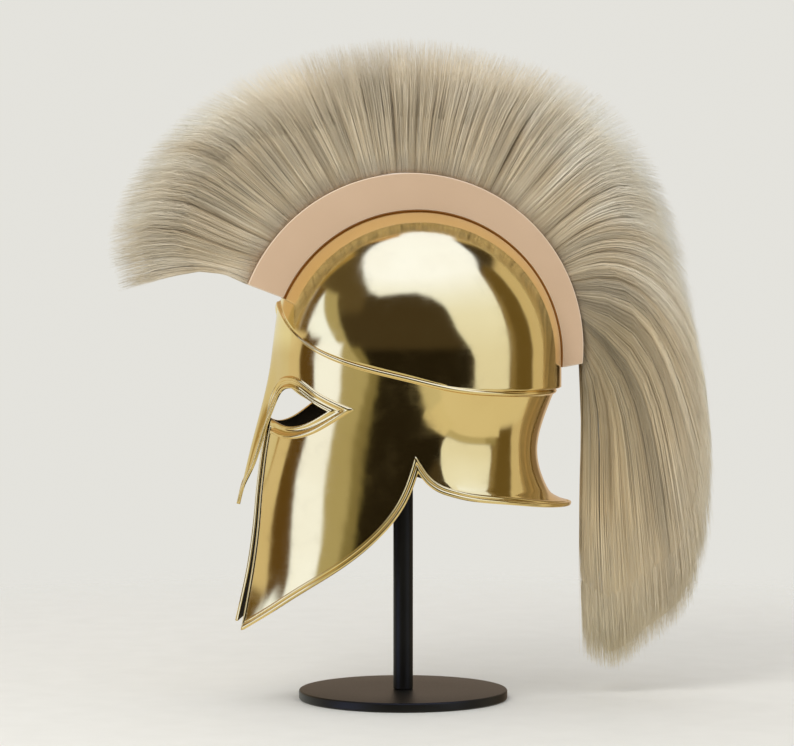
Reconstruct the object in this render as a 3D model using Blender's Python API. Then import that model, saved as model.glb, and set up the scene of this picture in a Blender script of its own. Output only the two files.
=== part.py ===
"""A Corinthian helmet with a horsehair plume, on a plain display stand.

+Z is up, the helmet faces -X, and its plane of symmetry is Y = 0. The origin is the
middle of the underside of the stand's round base. Tables are in millimetres and degrees,
and every mesh is scaled to metres as it is made. A table's first row names its columns.
"""
import math

import bmesh
import bpy
import numpy as np
from mathutils import Vector
from mathutils.geometry import delaunay_2d_cdt

MM = 0.001
GAP = 0.3

# The stand
BASE_RADIUS = 88.0
BASE_HEIGHT = 8.0
BASE_ROUND = 1.5
POST_RADIUS = 8.3
CAP_RADIUS = 30.0
CAP_ROUND = 66.0
CAP_RIM = 5.0
CAP_CLEAR = 1.4
CAP_STEPS = 4

# The helmet's metal and its dome, a circle in side view
METAL = 2.0
CENTRE_X = 10.5
EQUATOR = 289.0
DOME_RADIUS = 123.2
DOME_HALF_WIDTH = 97.5

# The crest box, between two circles in side view, whose centres differ a little
BOX_HALF_WIDTH = 15.0
BOX_INNER = {"x": 10.5, "z": 289.2, "radius": 123.85, "front": 156.3, "back": -4.4}
BOX_OUTER = {"x": 4.7, "z": 296.5, "radius": 146.4, "front": 158.6, "back": -5.4}
BOX_STEPS = 30
BOX_BEVEL = 0.8

# The plume, which stands in the box: half its thickness at the box, at the tips, in the
# tail and at its thin edges
PLUME_ROOT_HALF = 11.0
PLUME_TIP_HALF = 22.0
TAIL_HALF = 27.0
PLUME_EDGE_HALF = 4.0

# Parts of the way along the box: where the tail starts to thicken and over how much, and
# how much of each end thins
TAIL_FROM = 0.72
TAIL_BLEND = 0.2
PLUME_END = 0.10

# Parts of the way up the hair: where the fringe starts to thin and by how much, and how
# much of the root keeps at least half its thickness; and how the hair swells from its root
FRINGE_FROM = 0.8
FRINGE_THIN = 0.8
ROOT_PART = 0.25
ROOT_LEAST = 0.5
SWELL_RATE = 1.3
SWELL_POWER = 0.7
PLUME_COLUMNS = 50
PLUME_ROWS = 8

# The hair's course, by its root's angle on the box's outer side: two places that it passes
# and its tip, in side view, from the front round to the tail
HAIR = (
    ("root_angle", "x1", "z1", "x2", "z2", "tip_x", "tip_z"),
    (158.6, -156, 360, -194, 357, -237, 345),
    (152.0, -161, 375, -194, 384, -246, 374),
    (143.0, -154, 405, -194, 421, -241, 413),
    (132.0, -129, 437, -166, 464, -213, 463),
    (120.0, -95, 463, -124, 498, -154, 515),
    (108.0, -55, 471, -70, 506, -85, 543),
    (96.0, -15, 479, -20, 516, -27, 554),
    (84.0, 23, 479, 28, 515, 32, 554),
    (72.0, 61, 471, 74, 506, 89, 542),
    (60.0, 97, 456, 120, 491, 150, 521),
    (48.0, 130, 431, 165, 460, 203, 471),
    (38.0, 149, 411, 189, 427, 233, 403),
    (29.0, 164, 381, 207, 375, 248, 325),
    (21.0, 180, 350, 226, 305, 263, 186),
    (13.0, 182, 311, 226, 211, 245, 77),
    (5.0, 171, 280, 193, 185, 206, 42),
    (-2.0, 160, 269, 167, 185, 175, 27),
    (-5.4, 152, 253, 151, 169, 156, 38),
)

# The wall below the dome, by height: its front at the middle, its half width, how far the
# nose stands forward, and how much the cheeks are pinched in towards the front
WALL = (
    ("height", "front", "half_width", "nose", "pinch"),
    (64, -170.0, 90.0, 3.0, 1.4),
    (110, -154.0, 91.5, 5.5, 1.35),
    (167, -139.3, 93.0, 8.0, 0.6),
    (220, -126.9, 94.5, 8.0, 0.05),
    (274, -113.5, 96.0, 4.0, 0.0),
    (300, -109.7, 96.8, 1.0, 0.0),
    (334, -105.0, 97.0, 0.0, 0.0),
)
NOSE_WIDTH = 8.5

# The ridge between dome and wall, by the angle round from the front
RIDGE = (
    ("angle", "height"),
    (0, 334.0), (10, 328.0), (20, 318.0), (33, 305.0), (52, 290.0),
    (79, 275.5), (94, 268.0), (119, 262.0), (150, 260.3), (180, 260.3),
)

# The neck guard's hollow, by the part of the drop from the ridge to the flange's crease, how
# much of it the sides have, and the angles over which the guard takes over from the wall
NECK = (("part", "out"), (0.0, 0.0), (0.25, -8.4), (0.57, -14.5), (0.8, -11.2), (1.0, -3.8))
NECK_LENGTH = 117.2
NECK_HALF_WIDTH = 98.0
NECK_SIDE = 0.7
NECK_STARTS = 72.0
NECK_BLEND = 40.0

# The crease that the guard's flange turns out at: its drop below the ridge, and how
# steeply the flange falls from it, steep at the sides and flatter behind
CREASE = (
    ("angle", "drop", "slope"),
    (86, 80.0, 66.0),
    (105, 82.4, 62.0),
    (130, 84.6, 52.0),
    (155, 86.2, 34.0),
    (180, 87.0, 25.0),
)
CREASE_ROUND = 2.5

# The metal's edge on one side, by angle and height, from the nasal's point to the back.
# A run ends at each corner of the edge.
NASAL_AND_BROW = (
    (1.0, 166.0), (2.6, 178.0), (5.4, 189.0), (6.9, 198.0), (7.6, 210.0),
    (7.9, 222.0), (8.7, 236.0), (10.6, 247.5), (13.3, 256.5), (17.0, 262.0),
    (22.0, 264.4), (26.5, 264.5), (30.7, 262.5), (34.5, 258.9), (38.8, 254.6),
    (47.6, 247.0),
)
UNDER_EYE = (
    (47.6, 247.0), (42.1, 240.6), (38.1, 236.9), (33.6, 234.5), (28.5, 233.5),
    (22.1, 234.5), (11.8, 238.0),
)
CHEEK_FRONT = (
    (11.8, 238.0), (12.4, 220.0), (15.6, 191.0), (18.6, 171.0), (21.2, 156.0),
    (24.3, 135.0), (27.5, 109.0), (32.2, 63.5),
)
CHEEK_BOTTOM = (
    (32.2, 63.5), (41.1, 78.5), (47.8, 91.5), (54.7, 104.5), (62.9, 120.6),
    (70.3, 138.6), (76.1, 157.0), (80.6, 178.0), (83.3, 197.5),
)
NECK_RIM = (
    (83.3, 197.5), (86.6, 188.5), (91.0, 182.0), (98.0, 177.5), (108.0, 173.5),
    (124.0, 169.5), (140.0, 164.5), (158.0, 158.0), (180.0, 152.0),
)

# A border has two beads along it, each given by its middle and half width, as parts of
# the border's width from the edge, and its height
LIP = (0.10, 0.10, 0.5)
NARROW = (0.45, 0.40, 1.1, 0.93, 0.04, 0.0)
EYE_BAND = (*LIP, 0.80, 0.18, 1.7)
DOUBLE = (0.25, 0.24, 1.2, 0.74, 0.22, 1.2)
RIM = (0.22, 0.21, 1.4, 0.74, 0.20, 0.6)

# The border along each run: its width where the run starts and ends, the parts of the run
# between which that changes, and its beads at both ends
BORDERS = (
    (NASAL_AND_BROW, 3.2, 10.5, (0.42, 0.62), NARROW, EYE_BAND),
    (UNDER_EYE, 10.5, 10.5, (0.0, 1.0), EYE_BAND, EYE_BAND),
    (CHEEK_FRONT, 3.6, 3.6, (0.0, 1.0), NARROW, NARROW),
    (CHEEK_BOTTOM, 6.4, 6.4, (0.0, 1.0), DOUBLE, DOUBLE),
    (NECK_RIM, 6.4, 7.5, (0.0, 1.0), DOUBLE, RIM),
)

# How far from a corner the beads take each other's form, and the border leans to its
# mitre: at least this far, or this many times the lean itself
BEAD_BLEND = 12.0
MITRE_BLEND = 22.0
MITRE_REACH = 1.6

# The ridge's bead, and how far its strip reaches above and below the ridge
RIDGE_BEAD = 2.1
RIDGE_BEAD_AT = -0.4
RIDGE_BLEND_FROM = 3.2
RIDGE_BLEND = 2.0
STRIP_ABOVE = 6.0
STRIP_BELOW = 4.0

# How finely the shell is faceted: its facets, which grow from the nose backwards, the step
# along its edge, and the points that the edge's curve is measured at for each of its rows
FACET = 15.0
FRONT_FACET = 5.0
FACET_GROWTH = 1.15
EDGE_STEP = 10.0
EDGE_SAMPLES = 60
CLEAR_OF_OUTLINE = 0.45

# The wall is laid out flat with its angle, in radians, times this length
SHEET_SCALE = 110.0

# An angle this near the front or the back lies on the middle plane
MIDDLE = 1e-9


def column(table, name):
    """One column of a table, by its name in the table's first row."""
    at = table[0].index(name)
    return np.array([row[at] for row in table[1:]], float)


def spline(xs, ys):
    """A natural cubic spline through points, as a function."""
    xs, ys = np.asarray(xs, float), np.asarray(ys, float)
    last = len(xs) - 1
    step = np.diff(xs)
    bend = np.zeros(last + 1)
    if last > 1:
        matrix = np.diag(2 * (step[:-1] + step[1:]))
        matrix += np.diag(step[1:-1], 1) + np.diag(step[1:-1], -1)
        slope = np.diff(ys) / step
        bend[1:-1] = np.linalg.solve(matrix, 6 * np.diff(slope))

    def value(at):
        at = np.clip(np.asarray(at, float), xs[0], xs[-1])
        i = np.clip(np.searchsorted(xs, at) - 1, 0, last - 1)
        before = (xs[i + 1] - at) / step[i]
        after = 1 - before
        line = before * ys[i] + after * ys[i + 1]
        curve = (before**3 - before) * bend[i] + (after**3 - after) * bend[i + 1]
        return line + curve * step[i] ** 2 / 6

    return value


def column_spline(table, x, y):
    """A spline through two columns of a table."""
    return spline(column(table, x), column(table, y))


WALL_FRONT = column_spline(WALL, "height", "front")
WALL_HALF_WIDTH = column_spline(WALL, "height", "half_width")
WALL_NOSE = column_spline(WALL, "height", "nose")
WALL_PINCH = column_spline(WALL, "height", "pinch")
RIDGE_HEIGHT = column_spline(RIDGE, "angle", "height")
NECK_OUT = column_spline(NECK, "part", "out")
CREASE_DROP = column_spline(CREASE, "angle", "drop")
FLANGE_SLOPE = column_spline(CREASE, "angle", "slope")


def smooth_step(x):
    """0 below 0, 1 above 1, and smooth between."""
    x = np.clip(x, 0.0, 1.0)
    return x**3 * (10 - 15 * x + 6 * x**2)


def wall(angle, drop):
    """The helmet's outer side on the near half, by the angle round from the front in
    radians and the drop below the ridge."""
    angle, drop = np.broadcast_arrays(np.asarray(angle, float), np.asarray(drop, float))
    degrees = np.degrees(angle)
    neck = smooth_step((degrees - NECK_STARTS) / NECK_BLEND)
    ridge = RIDGE_HEIGHT(degrees)
    height = ridge - drop
    crease = CREASE_DROP(degrees)
    past = drop - crease
    flange = 0.5 * (past + np.sqrt(past**2 + CREASE_ROUND**2))
    slope = np.radians(FLANGE_SLOPE(degrees))
    hollow = NECK_OUT(drop / crease)
    spread = flange * np.cos(slope)
    sunk = drop - flange * (1 - np.sin(slope))
    length = (CENTRE_X - WALL_FRONT(height)) * (1 - neck) + (NECK_LENGTH + hollow + spread) * neck
    side = NECK_HALF_WIDTH + NECK_SIDE * hollow + spread
    half = WALL_HALF_WIDTH(height) * (1 - neck) + side * neck
    pinch = WALL_PINCH(height) * (1 - neck) * (1 - np.sin(angle)) ** 2
    y = half * np.sin(angle) * (1 - pinch)
    flat = 1 - np.exp(-(y**2) / (2 * NOSE_WIDTH**2))
    x = CENTRE_X - length * np.cos(angle) + WALL_NOSE(height) * (1 - neck) * flat
    return np.stack([x, -y, ridge - drop * (1 - neck) - sunk * neck], -1)


def dome(angle, rise):
    """The dome on the near half, by the angle round and the rise along it from its
    equator, below which it is upright."""
    angle, rise = np.broadcast_arrays(np.asarray(angle, float), np.asarray(rise, float))
    turn = np.clip(rise, 0, None) / DOME_RADIUS
    ring = np.cos(turn)
    x = CENTRE_X - DOME_RADIUS * ring * np.cos(angle)
    y = -DOME_HALF_WIDTH * ring * np.sin(angle)
    z = EQUATOR + np.where(rise < 0, rise, DOME_RADIUS * np.sin(turn))
    return np.stack([x, y, z], -1)


def surface_frame(surface, a, b, sign):
    """A surface's two slopes, by its own two numbers, and its outward normal."""
    small = 1e-4
    across = (surface(a + small, b) - surface(a - small, b)) / (2 * small)
    along = (surface(a, b + small) - surface(a, b - small)) / (2 * small)
    normal = sign * np.cross(across, along)
    return across, along, normal / np.linalg.norm(normal, axis=-1, keepdims=True)


def raised(surface, sign, angle, distance, high):
    """Points that stand above a surface, or under it, and stay on the middle plane at
    the front and the back."""
    angle = np.asarray(angle, float)
    _, _, normal = surface_frame(surface, angle, distance, sign)
    place = surface(angle, distance) + high * normal
    middle = (angle <= MIDDLE) | (angle >= math.pi - MIDDLE)
    place[..., 1] = np.where(middle, 0.0, place[..., 1])
    return place


def raised_wall(angle, drop, high):
    """Points that stand above the wall."""
    return raised(wall, -1, angle, drop, high)


def raised_dome(angle, rise, high):
    """Points that stand above the dome."""
    return raised(dome, 1, angle, rise, high)


def edge_run(points, step):
    """One run of the edge as angles, drops and distances along it, evenly spaced."""
    degrees, height = np.array(points, float).T
    across = SHEET_SCALE * np.radians(degrees)
    chord = np.concatenate([[0], np.cumsum(np.hypot(np.diff(across), np.diff(height)))])
    fine = np.linspace(0, chord[-1], EDGE_SAMPLES * len(points))
    angle = spline(chord, across)(fine) / SHEET_SCALE
    drop = RIDGE_HEIGHT(np.degrees(angle)) - spline(chord, height)(fine)
    place = wall(angle, drop)
    run = np.concatenate([[0], np.cumsum(np.linalg.norm(np.diff(place, axis=0), axis=1))])
    even = np.linspace(0, run[-1], max(3, round(run[-1] / step) + 1))
    tangent = np.gradient(place, run, axis=0)
    tangent = np.stack([np.interp(even, run, tangent[:, k]) for k in range(3)], -1)
    tangent /= np.linalg.norm(tangent, axis=1, keepdims=True)
    return np.interp(even, run, angle), np.interp(even, run, drop), even, tangent


def blend(start, end, share):
    """Rows that go from one set of numbers to another."""
    share = np.asarray(share)[:, None]
    return np.array(start) * (1 - share) + np.array(end) * share


def edge_columns(step):
    """The border's columns along the whole edge: the angle and drop at the edge, the
    change in both to the border's inner line, and the beads' numbers."""
    runs = []
    for points, start, end, changes, start_beads, end_beads in BORDERS:
        angle, drop, along, tangent = edge_run(points, step)
        across, down, normal = surface_frame(wall, angle, drop, -1)
        left = np.cross(normal, tangent)
        share = smooth_step((along / along[-1] - changes[0]) / (changes[1] - changes[0]))
        runs.append({
            "angle": angle, "drop": drop, "along": along, "tangent": tangent, "left": left,
            "slopes": np.stack([across, down], -1),
            "width": blend([start], [end], share)[:, 0],
            "beads": blend(start_beads, end_beads, share),
            "lean": np.zeros(len(along)),
        })
    for before, after in zip(runs, runs[1:]):
        mitre_corner(before, after)
    table = []
    for number, run in enumerate(runs):
        inward = run["width"][:, None] * (
            run["left"] + run["lean"][:, None] * run["tangent"]
        )
        for i in range(len(inward)):
            if number and i == 0:
                continue
            change = np.linalg.lstsq(run["slopes"][i], inward[i], rcond=None)[0]
            table.append((run["angle"][i], run["drop"][i], *change, *run["beads"][i]))
    table = np.array(table)
    table[0, 2:4] = -table[0, 0], 0.0
    table[-1, 2] = 0.0
    crosses = table[:, 0] + table[:, 2] <= MIDDLE
    table[crosses, 2:4] *= (table[crosses, 0] / -table[crosses, 2])[:, None]
    return table, int(np.nonzero(crosses)[0][-1])


def mitre_corner(before, after):
    """Lean the borders of two runs towards each other, so that they meet at a mitre, and
    make their beads alike there."""
    width_a, width_b = before["width"][-1], after["width"][0]
    left_a, left_b = before["left"][-1], after["left"][0]
    tangent_a, tangent_b = before["tangent"][-1], after["tangent"][0]
    reach = (width_b - width_a * left_a @ left_b) / (tangent_a @ left_b)
    mitre = width_a * left_a + reach * tangent_a
    lean_a, lean_b = reach / width_a, tangent_b @ mitre / width_b
    ends = (
        (before, lean_a, width_a, before["along"][-1] - before["along"]),
        (after, lean_b, width_b, after["along"]),
    )
    shared = (before["beads"][-1] + after["beads"][0]) / 2
    for run, lean, width, far in ends:
        length = max(MITRE_BLEND, MITRE_REACH * width * abs(lean))
        run["lean"] += lean * np.clip(1 - far / length, 0, 1)
        run["beads"] = blend(shared, [0] * 6, 1 - smooth_step(1 - far / BEAD_BLEND)) + (
            run["beads"] * smooth_step(far / BEAD_BLEND)[:, None]
        )


def bead_rows(beads):
    """The places across a border, from its inner line to the edge, and the height that
    its beads give each."""
    mid_a, half_a, high_a, mid_b, half_b, high_b = beads
    rows = [(1.0, 0.0)]
    rows += [(mid_b, high_b), (mid_b - half_b, 0.0)]
    rows += [(mid_a + half_a, 0.0), (mid_a, high_a), (0.0, 0.0)]
    return rows


def ridge_rows():
    """The rows of the ridge's strip, from the dome down to the wall: height above the
    ridge, and how far the bead stands out."""
    top, bottom = RIDGE_BEAD_AT + RIDGE_BEAD, RIDGE_BEAD_AT - RIDGE_BEAD
    return [
        (STRIP_ABOVE, 0), (RIDGE_BLEND_FROM, 0), (top, 0), (RIDGE_BEAD_AT, RIDGE_BEAD),
        (bottom, 0), (-STRIP_BELOW, 0),
    ]


def ridge_point(angle, above, stands):
    """A point of the ridge's strip, where the dome gives way to the wall."""
    rise = dome_rise(angle) + above
    share = smooth_step((RIDGE_BLEND_FROM - above) / RIDGE_BLEND)
    place = dome(angle, rise) * (1 - share) + wall(angle, -above) * share
    out = np.array([-math.cos(angle) / DOME_RADIUS, -math.sin(angle) / DOME_HALF_WIDTH, 0])
    return place + stands * out / np.linalg.norm(out)


def dome_rise(angle):
    """How far along the dome's side, from its equator, the ridge lies."""
    above = RIDGE_HEIGHT(np.degrees(angle)) - EQUATOR
    rise = DOME_RADIUS * np.arcsin(np.clip(above, 0, None) / DOME_RADIUS)
    return np.where(above < 0, above, rise)


def inside(polygon, points, margin):
    """Which points lie inside a closed line and at least a margin from it."""
    start, end = polygon, np.roll(polygon, -1, axis=0)
    x, y = points[:, :1], points[:, 1:]
    upward = (start[:, 1] > y) != (end[:, 1] > y)
    rise = np.where(end[:, 1] == start[:, 1], 1e-12, end[:, 1] - start[:, 1])
    cross = x < start[:, 0] + (y - start[:, 1]) / rise * (end[:, 0] - start[:, 0])
    within = np.sum(upward & cross, axis=1) % 2 == 1
    side = end - start
    length = np.maximum(np.sum(side**2, axis=1), 1e-12)
    share = ((x - start[:, 0]) * side[:, 0] + (y - start[:, 1]) * side[:, 1]) / length
    share = np.clip(share, 0, 1)
    away = np.hypot(
        x - start[:, 0] - share * side[:, 0], y - start[:, 1] - share * side[:, 1]
    )
    return within & (away.min(axis=1) > margin)


def column_angles():
    """The angles of the shell's columns, from front to back, closer near the nose."""
    places = [0.0]
    step = FRONT_FACET
    while places[-1] + step < SHEET_SCALE * math.pi - 0.5 * FACET:
        places.append(places[-1] + step)
        step = min(FACET, step * FACET_GROWTH)
    return np.array([*places, SHEET_SCALE * math.pi]) / SHEET_SCALE


class Shell:
    """The points and faces of the near half of the helmet."""

    def __init__(self):
        self.points = []
        self.faces = []

    def add(self, place):
        """Add a point, and give its number."""
        self.points.append(place)
        return len(self.points) - 1

    def rows(self, upper, lower, flip=False):
        """Faces between two rows of points, the first on the left of the second."""
        for i in range(len(upper) - 1):
            face = [upper[i], lower[i], lower[i + 1], upper[i + 1]]
            self.faces.append(face[::-1] if flip else face)


def dome_faces(shell, angles, bottom, depth):
    """The dome above its lowest row, at a depth under the outer side."""
    start = dome_rise(angles) + STRIP_ABOVE
    top = DOME_RADIUS * math.pi / 2
    count = round((top - start.min()) / FACET)
    lower = bottom
    for i in range(1, count):
        rise = start + (top - start) * i / count
        upper = [shell.add(p) for p in raised_dome(angles, rise, -depth)]
        shell.rows(upper, lower, flip=depth > 0)
        lower = upper
    pole = shell.add(np.array([CENTRE_X, 0.0, EQUATOR + DOME_RADIUS - depth]))
    for i in range(len(lower) - 1):
        face = [pole, lower[i], lower[i + 1]]
        shell.faces.append(face[::-1] if depth > 0 else face)


def wall_sheet(angles, table, first):
    """The wall between the ridge's strip and the border's inner line, laid out flat: its
    points as angles and drops, its triangles, and how many points lie on its outline."""
    top = [(angle, STRIP_BELOW) for angle in angles[::-1]]
    inner = [(row[0] + row[2], row[1] + row[3]) for row in table[first:]]
    front = spaced(STRIP_BELOW, inner[0][1])
    back = spaced(inner[-1][1], STRIP_BELOW)
    outline = [(0.0, d) for d in front] + inner + [(math.pi, d) for d in back] + top
    outline = np.array(outline) * (SHEET_SCALE, -1.0)
    deepest = table[:, 1].max()
    drops = np.arange(STRIP_BELOW + FACET, deepest, FACET)
    grid = np.array([(a * SHEET_SCALE, -d) for a in angles[1:-1] for d in drops])
    grid = grid[inside(outline, grid, CLEAR_OF_OUTLINE * FACET)]
    places = np.concatenate([outline, grid])
    loop = [(i, (i + 1) % len(outline)) for i in range(len(outline))]
    found = delaunay_2d_cdt([Vector(p) for p in places], loop, [], 1, 1e-6)
    name = [source[0] for source in found[3]]
    triangles = [[name[i] for i in face] for face in found[2]]
    return places / (SHEET_SCALE, -1.0), triangles, (len(front), len(inner), len(back))


def spaced(start, end):
    """Places between two numbers, a facet apart and without the ends."""
    count = max(1, round(abs(end - start) / FACET))
    return np.linspace(start, end, count + 1)[1:-1]


def near_half():
    """The near half of the helmet's shell, outside and inside."""
    shell = Shell()
    angles = column_angles()
    table, first = edge_columns(EDGE_STEP)
    places, triangles, (front, inner, back) = wall_sheet(angles, table, first)

    outer_top = None
    for above, stands in ridge_rows():
        row = [shell.add(ridge_point(angle, above, stands)) for angle in angles]
        if outer_top is None:
            dome_row = row
        else:
            shell.rows(outer_top, row)
        outer_top = row
    dome_faces(shell, angles, dome_row, 0.0)

    start = dome_rise(angles) + STRIP_ABOVE
    inner_dome = [shell.add(p) for p in raised_dome(angles, start, -METAL)]
    dome_faces(shell, angles, inner_dome, METAL)
    inner_top = [shell.add(p) for p in raised_wall(angles, STRIP_BELOW, -METAL)]
    shell.rows(inner_dome, inner_top, flip=True)

    columns, under = border(shell, table)
    for depth, top, lines in ((0.0, outer_top, columns), (METAL, inner_top, under)):
        skin = raised_wall(places[:, 0], places[:, 1], -depth)
        number = {}
        for i in range(inner):
            number[front + i] = lines[first + i]
        for i, point in enumerate(top[::-1]):
            number[front + inner + back + i] = point
        for i in range(len(places)):
            if i not in number:
                number[i] = shell.add(skin[i])
        for a, b, c in triangles:
            face = [number[a], number[b], number[c]]
            shell.faces.append(face[::-1] if depth else face)
    return shell


def border(shell, table):
    """The border strips along the edge, the edge itself and the strip behind it. Gives
    the points of the inner line, outside and inside."""
    columns = []
    for angle, drop, turn, fall, *beads in table:
        rows = np.array(bead_rows(beads) + [(0.0, -METAL), (1.0, -METAL)])
        share, high = rows[:, 0], rows[:, 1:]
        column = raised_wall(angle + turn * share, drop + fall * share, high)
        columns.append([shell.add(p) for p in column])
    for row in range(len(columns[0]) - 1):
        shell.rows([c[row] for c in columns], [c[row + 1] for c in columns])
    shell.faces.append(columns[0][::-1])
    return [c[0] for c in columns], [c[-1] for c in columns]


def material(name, colour, roughness, metallic):
    """A plain Principled material."""
    made = bpy.data.materials.new(name)
    made.use_nodes = True
    shader = made.node_tree.nodes["Principled BSDF"]
    shader.inputs["Base Color"].default_value = (*colour, 1.0)
    shader.inputs["Roughness"].default_value = roughness
    shader.inputs["Metallic"].default_value = metallic
    return made


def node(name, points, faces, finish, smooth_angle=40.0):
    """An object from points in millimetres."""
    mesh = bpy.data.meshes.new(name)
    mesh.from_pydata([tuple(MM * float(c) for c in p) for p in points], [], faces)
    mesh.validate()
    mesh.materials.append(finish)
    mesh.shade_smooth()
    mesh.set_sharp_from_angle(angle=math.radians(smooth_angle))
    made = bpy.data.objects.new(name, mesh)
    bpy.context.scene.collection.objects.link(made)
    return made


def helmet_shell():
    """Dome, face, nasal, cheek pieces and neck guard, beaten from one sheet, with the
    ridge and the borders raised on it."""
    half = near_half()
    gold = material("polished_gold", (0.80, 0.60, 0.25), 0.12, 1.0)
    made = node("helmet_shell", half.points, half.faces, gold)
    mirror = made.modifiers.new("Mirror", "MIRROR")
    mirror.use_axis = (False, True, False)
    mirror.use_clip = True
    mirror.merge_threshold = 0.00001
    return made


def arc(circle, steps):
    """Points along an arc in side view, from its front to its back."""
    points = []
    for i in range(steps + 1):
        turn = math.radians(
            circle["front"] + (circle["back"] - circle["front"]) * i / steps
        )
        points.append((
            circle["x"] + circle["radius"] * math.cos(turn),
            circle["z"] + circle["radius"] * math.sin(turn),
        ))
    return points


def crest_box():
    """The arched box that carries the plume over the dome."""
    inner, outer = arc(BOX_INNER, BOX_STEPS), arc(BOX_OUTER, BOX_STEPS)
    points, faces = [], []
    for (xi, zi), (xo, zo) in zip(inner, outer):
        points += [(xi, -BOX_HALF_WIDTH, zi), (xo, -BOX_HALF_WIDTH, zo)]
        points += [(xo, BOX_HALF_WIDTH, zo), (xi, BOX_HALF_WIDTH, zi)]
    for i in range(BOX_STEPS):
        a, b = 4 * i, 4 * i + 4
        for k in range(4):
            faces.append([b + k, b + (k + 1) % 4, a + (k + 1) % 4, a + k])
    faces += [[0, 1, 2, 3], [4 * BOX_STEPS + k for k in (3, 2, 1, 0)]]
    blush = material("blush_paint", (0.60, 0.42, 0.30), 0.45, 0.0)
    made = node("crest_box", points, faces, blush, 30.0)
    bevel = made.modifiers.new("Bevel", "BEVEL")
    bevel.width = BOX_BEVEL * MM
    bevel.segments = 1
    bevel.limit_method = "ANGLE"
    bevel.angle_limit = math.radians(40)
    return made


def hair_line(root_angle, shares):
    """The hair that stands at an angle on the box, in side view, at shares of its
    length."""
    turn = math.radians(root_angle)
    reach = BOX_OUTER["radius"] + GAP
    xs = [BOX_OUTER["x"] + reach * math.cos(turn)]
    zs = [BOX_OUTER["z"] + reach * math.sin(turn)]
    for x, z in (("x1", "z1"), ("x2", "z2"), ("tip_x", "tip_z")):
        xs.append(spline(-column(HAIR, "root_angle"), column(HAIR, x))(-root_angle))
        zs.append(spline(-column(HAIR, "root_angle"), column(HAIR, z))(-root_angle))
    chord = np.concatenate([[0], np.cumsum(np.hypot(np.diff(xs), np.diff(zs)))])
    at = np.asarray(shares) * chord[-1]
    return np.stack([spline(chord, xs)(at), spline(chord, zs)(at)], -1)


def plume_half(along, share):
    """Half the plume's thickness, by the part of the way along the box and up the hair."""
    tail = smooth_step((along - TAIL_FROM) / TAIL_BLEND)
    full = PLUME_TIP_HALF * (1 - tail) + TAIL_HALF * tail
    swell = min(1.0, SWELL_RATE * share) ** SWELL_POWER
    half = PLUME_ROOT_HALF + (full - PLUME_ROOT_HALF) * swell
    ends = smooth_step(min(along, 1 - along) / PLUME_END)
    fringe = 1 - FRINGE_THIN * smooth_step((share - FRINGE_FROM) / (1 - FRINGE_FROM))
    root = 1 - smooth_step(share / ROOT_PART)
    thick = root * max(ends, ROOT_LEAST) + (1 - root) * ends * fringe
    return PLUME_EDGE_HALF + (half - PLUME_EDGE_HALF) * thick


def plume():
    """The outer form of the horsehair: two sheets that part from the box outwards and
    close at the fringe."""
    shares = np.linspace(0, 1, PLUME_ROWS + 1)
    front, back = BOX_OUTER["front"], BOX_OUTER["back"]
    side = []
    for i in range(PLUME_COLUMNS + 1):
        along = i / PLUME_COLUMNS
        line = hair_line(front + (back - front) * along, shares)
        side += [(x, plume_half(along, share), z) for share, (x, z) in zip(shares, line)]
    points = [(x, -half, z) for x, half, z in side] + side
    wide, count = PLUME_ROWS + 1, len(side)
    faces = []
    for i in range(PLUME_COLUMNS):
        for j in range(PLUME_ROWS):
            a = i * wide + j
            face = [a, a + wide, a + wide + 1, a + 1]
            faces += [face, [count + k for k in face[::-1]]]
    rim = [i * wide for i in range(PLUME_COLUMNS + 1)]
    rim += [PLUME_COLUMNS * wide + j for j in range(1, wide)]
    rim += [i * wide + PLUME_ROWS for i in range(PLUME_COLUMNS - 1, -1, -1)]
    rim += list(range(PLUME_ROWS - 1, 0, -1))
    for a, b in zip(rim, rim[1:] + rim[:1]):
        faces.append([a, a + count, b + count, b])
    hair = material("horsehair", (0.55, 0.48, 0.38), 0.6, 0.0)
    node("plume", points, faces, hair)


def turned(name, profile, finish, steps):
    """A turned piece from a profile of radius and height, top to bottom."""
    mesh = bpy.data.meshes.new(name)
    form = bmesh.new()
    rings = []
    for radius, height in profile:
        if radius == 0:
            rings.append([form.verts.new((0, 0, height * MM))])
            continue
        ring = []
        for i in range(steps):
            turn = 2 * math.pi * i / steps
            place = (radius * math.cos(turn), radius * math.sin(turn), height)
            ring.append(form.verts.new(tuple(MM * c for c in place)))
        rings.append(ring)
    for upper, lower in zip(rings, rings[1:]):
        for i in range(steps):
            j = (i + 1) % steps
            face = [upper[i % len(upper)], lower[i % len(lower)]]
            if len(lower) > 1:
                face.append(lower[j])
            if len(upper) > 1:
                face.append(upper[j])
            form.faces.new(face)
    form.to_mesh(mesh)
    form.free()
    mesh.materials.append(finish)
    mesh.shade_smooth()
    mesh.set_sharp_from_angle(angle=math.radians(30))
    made = bpy.data.objects.new(name, mesh)
    bpy.context.scene.collection.objects.link(made)


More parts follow.
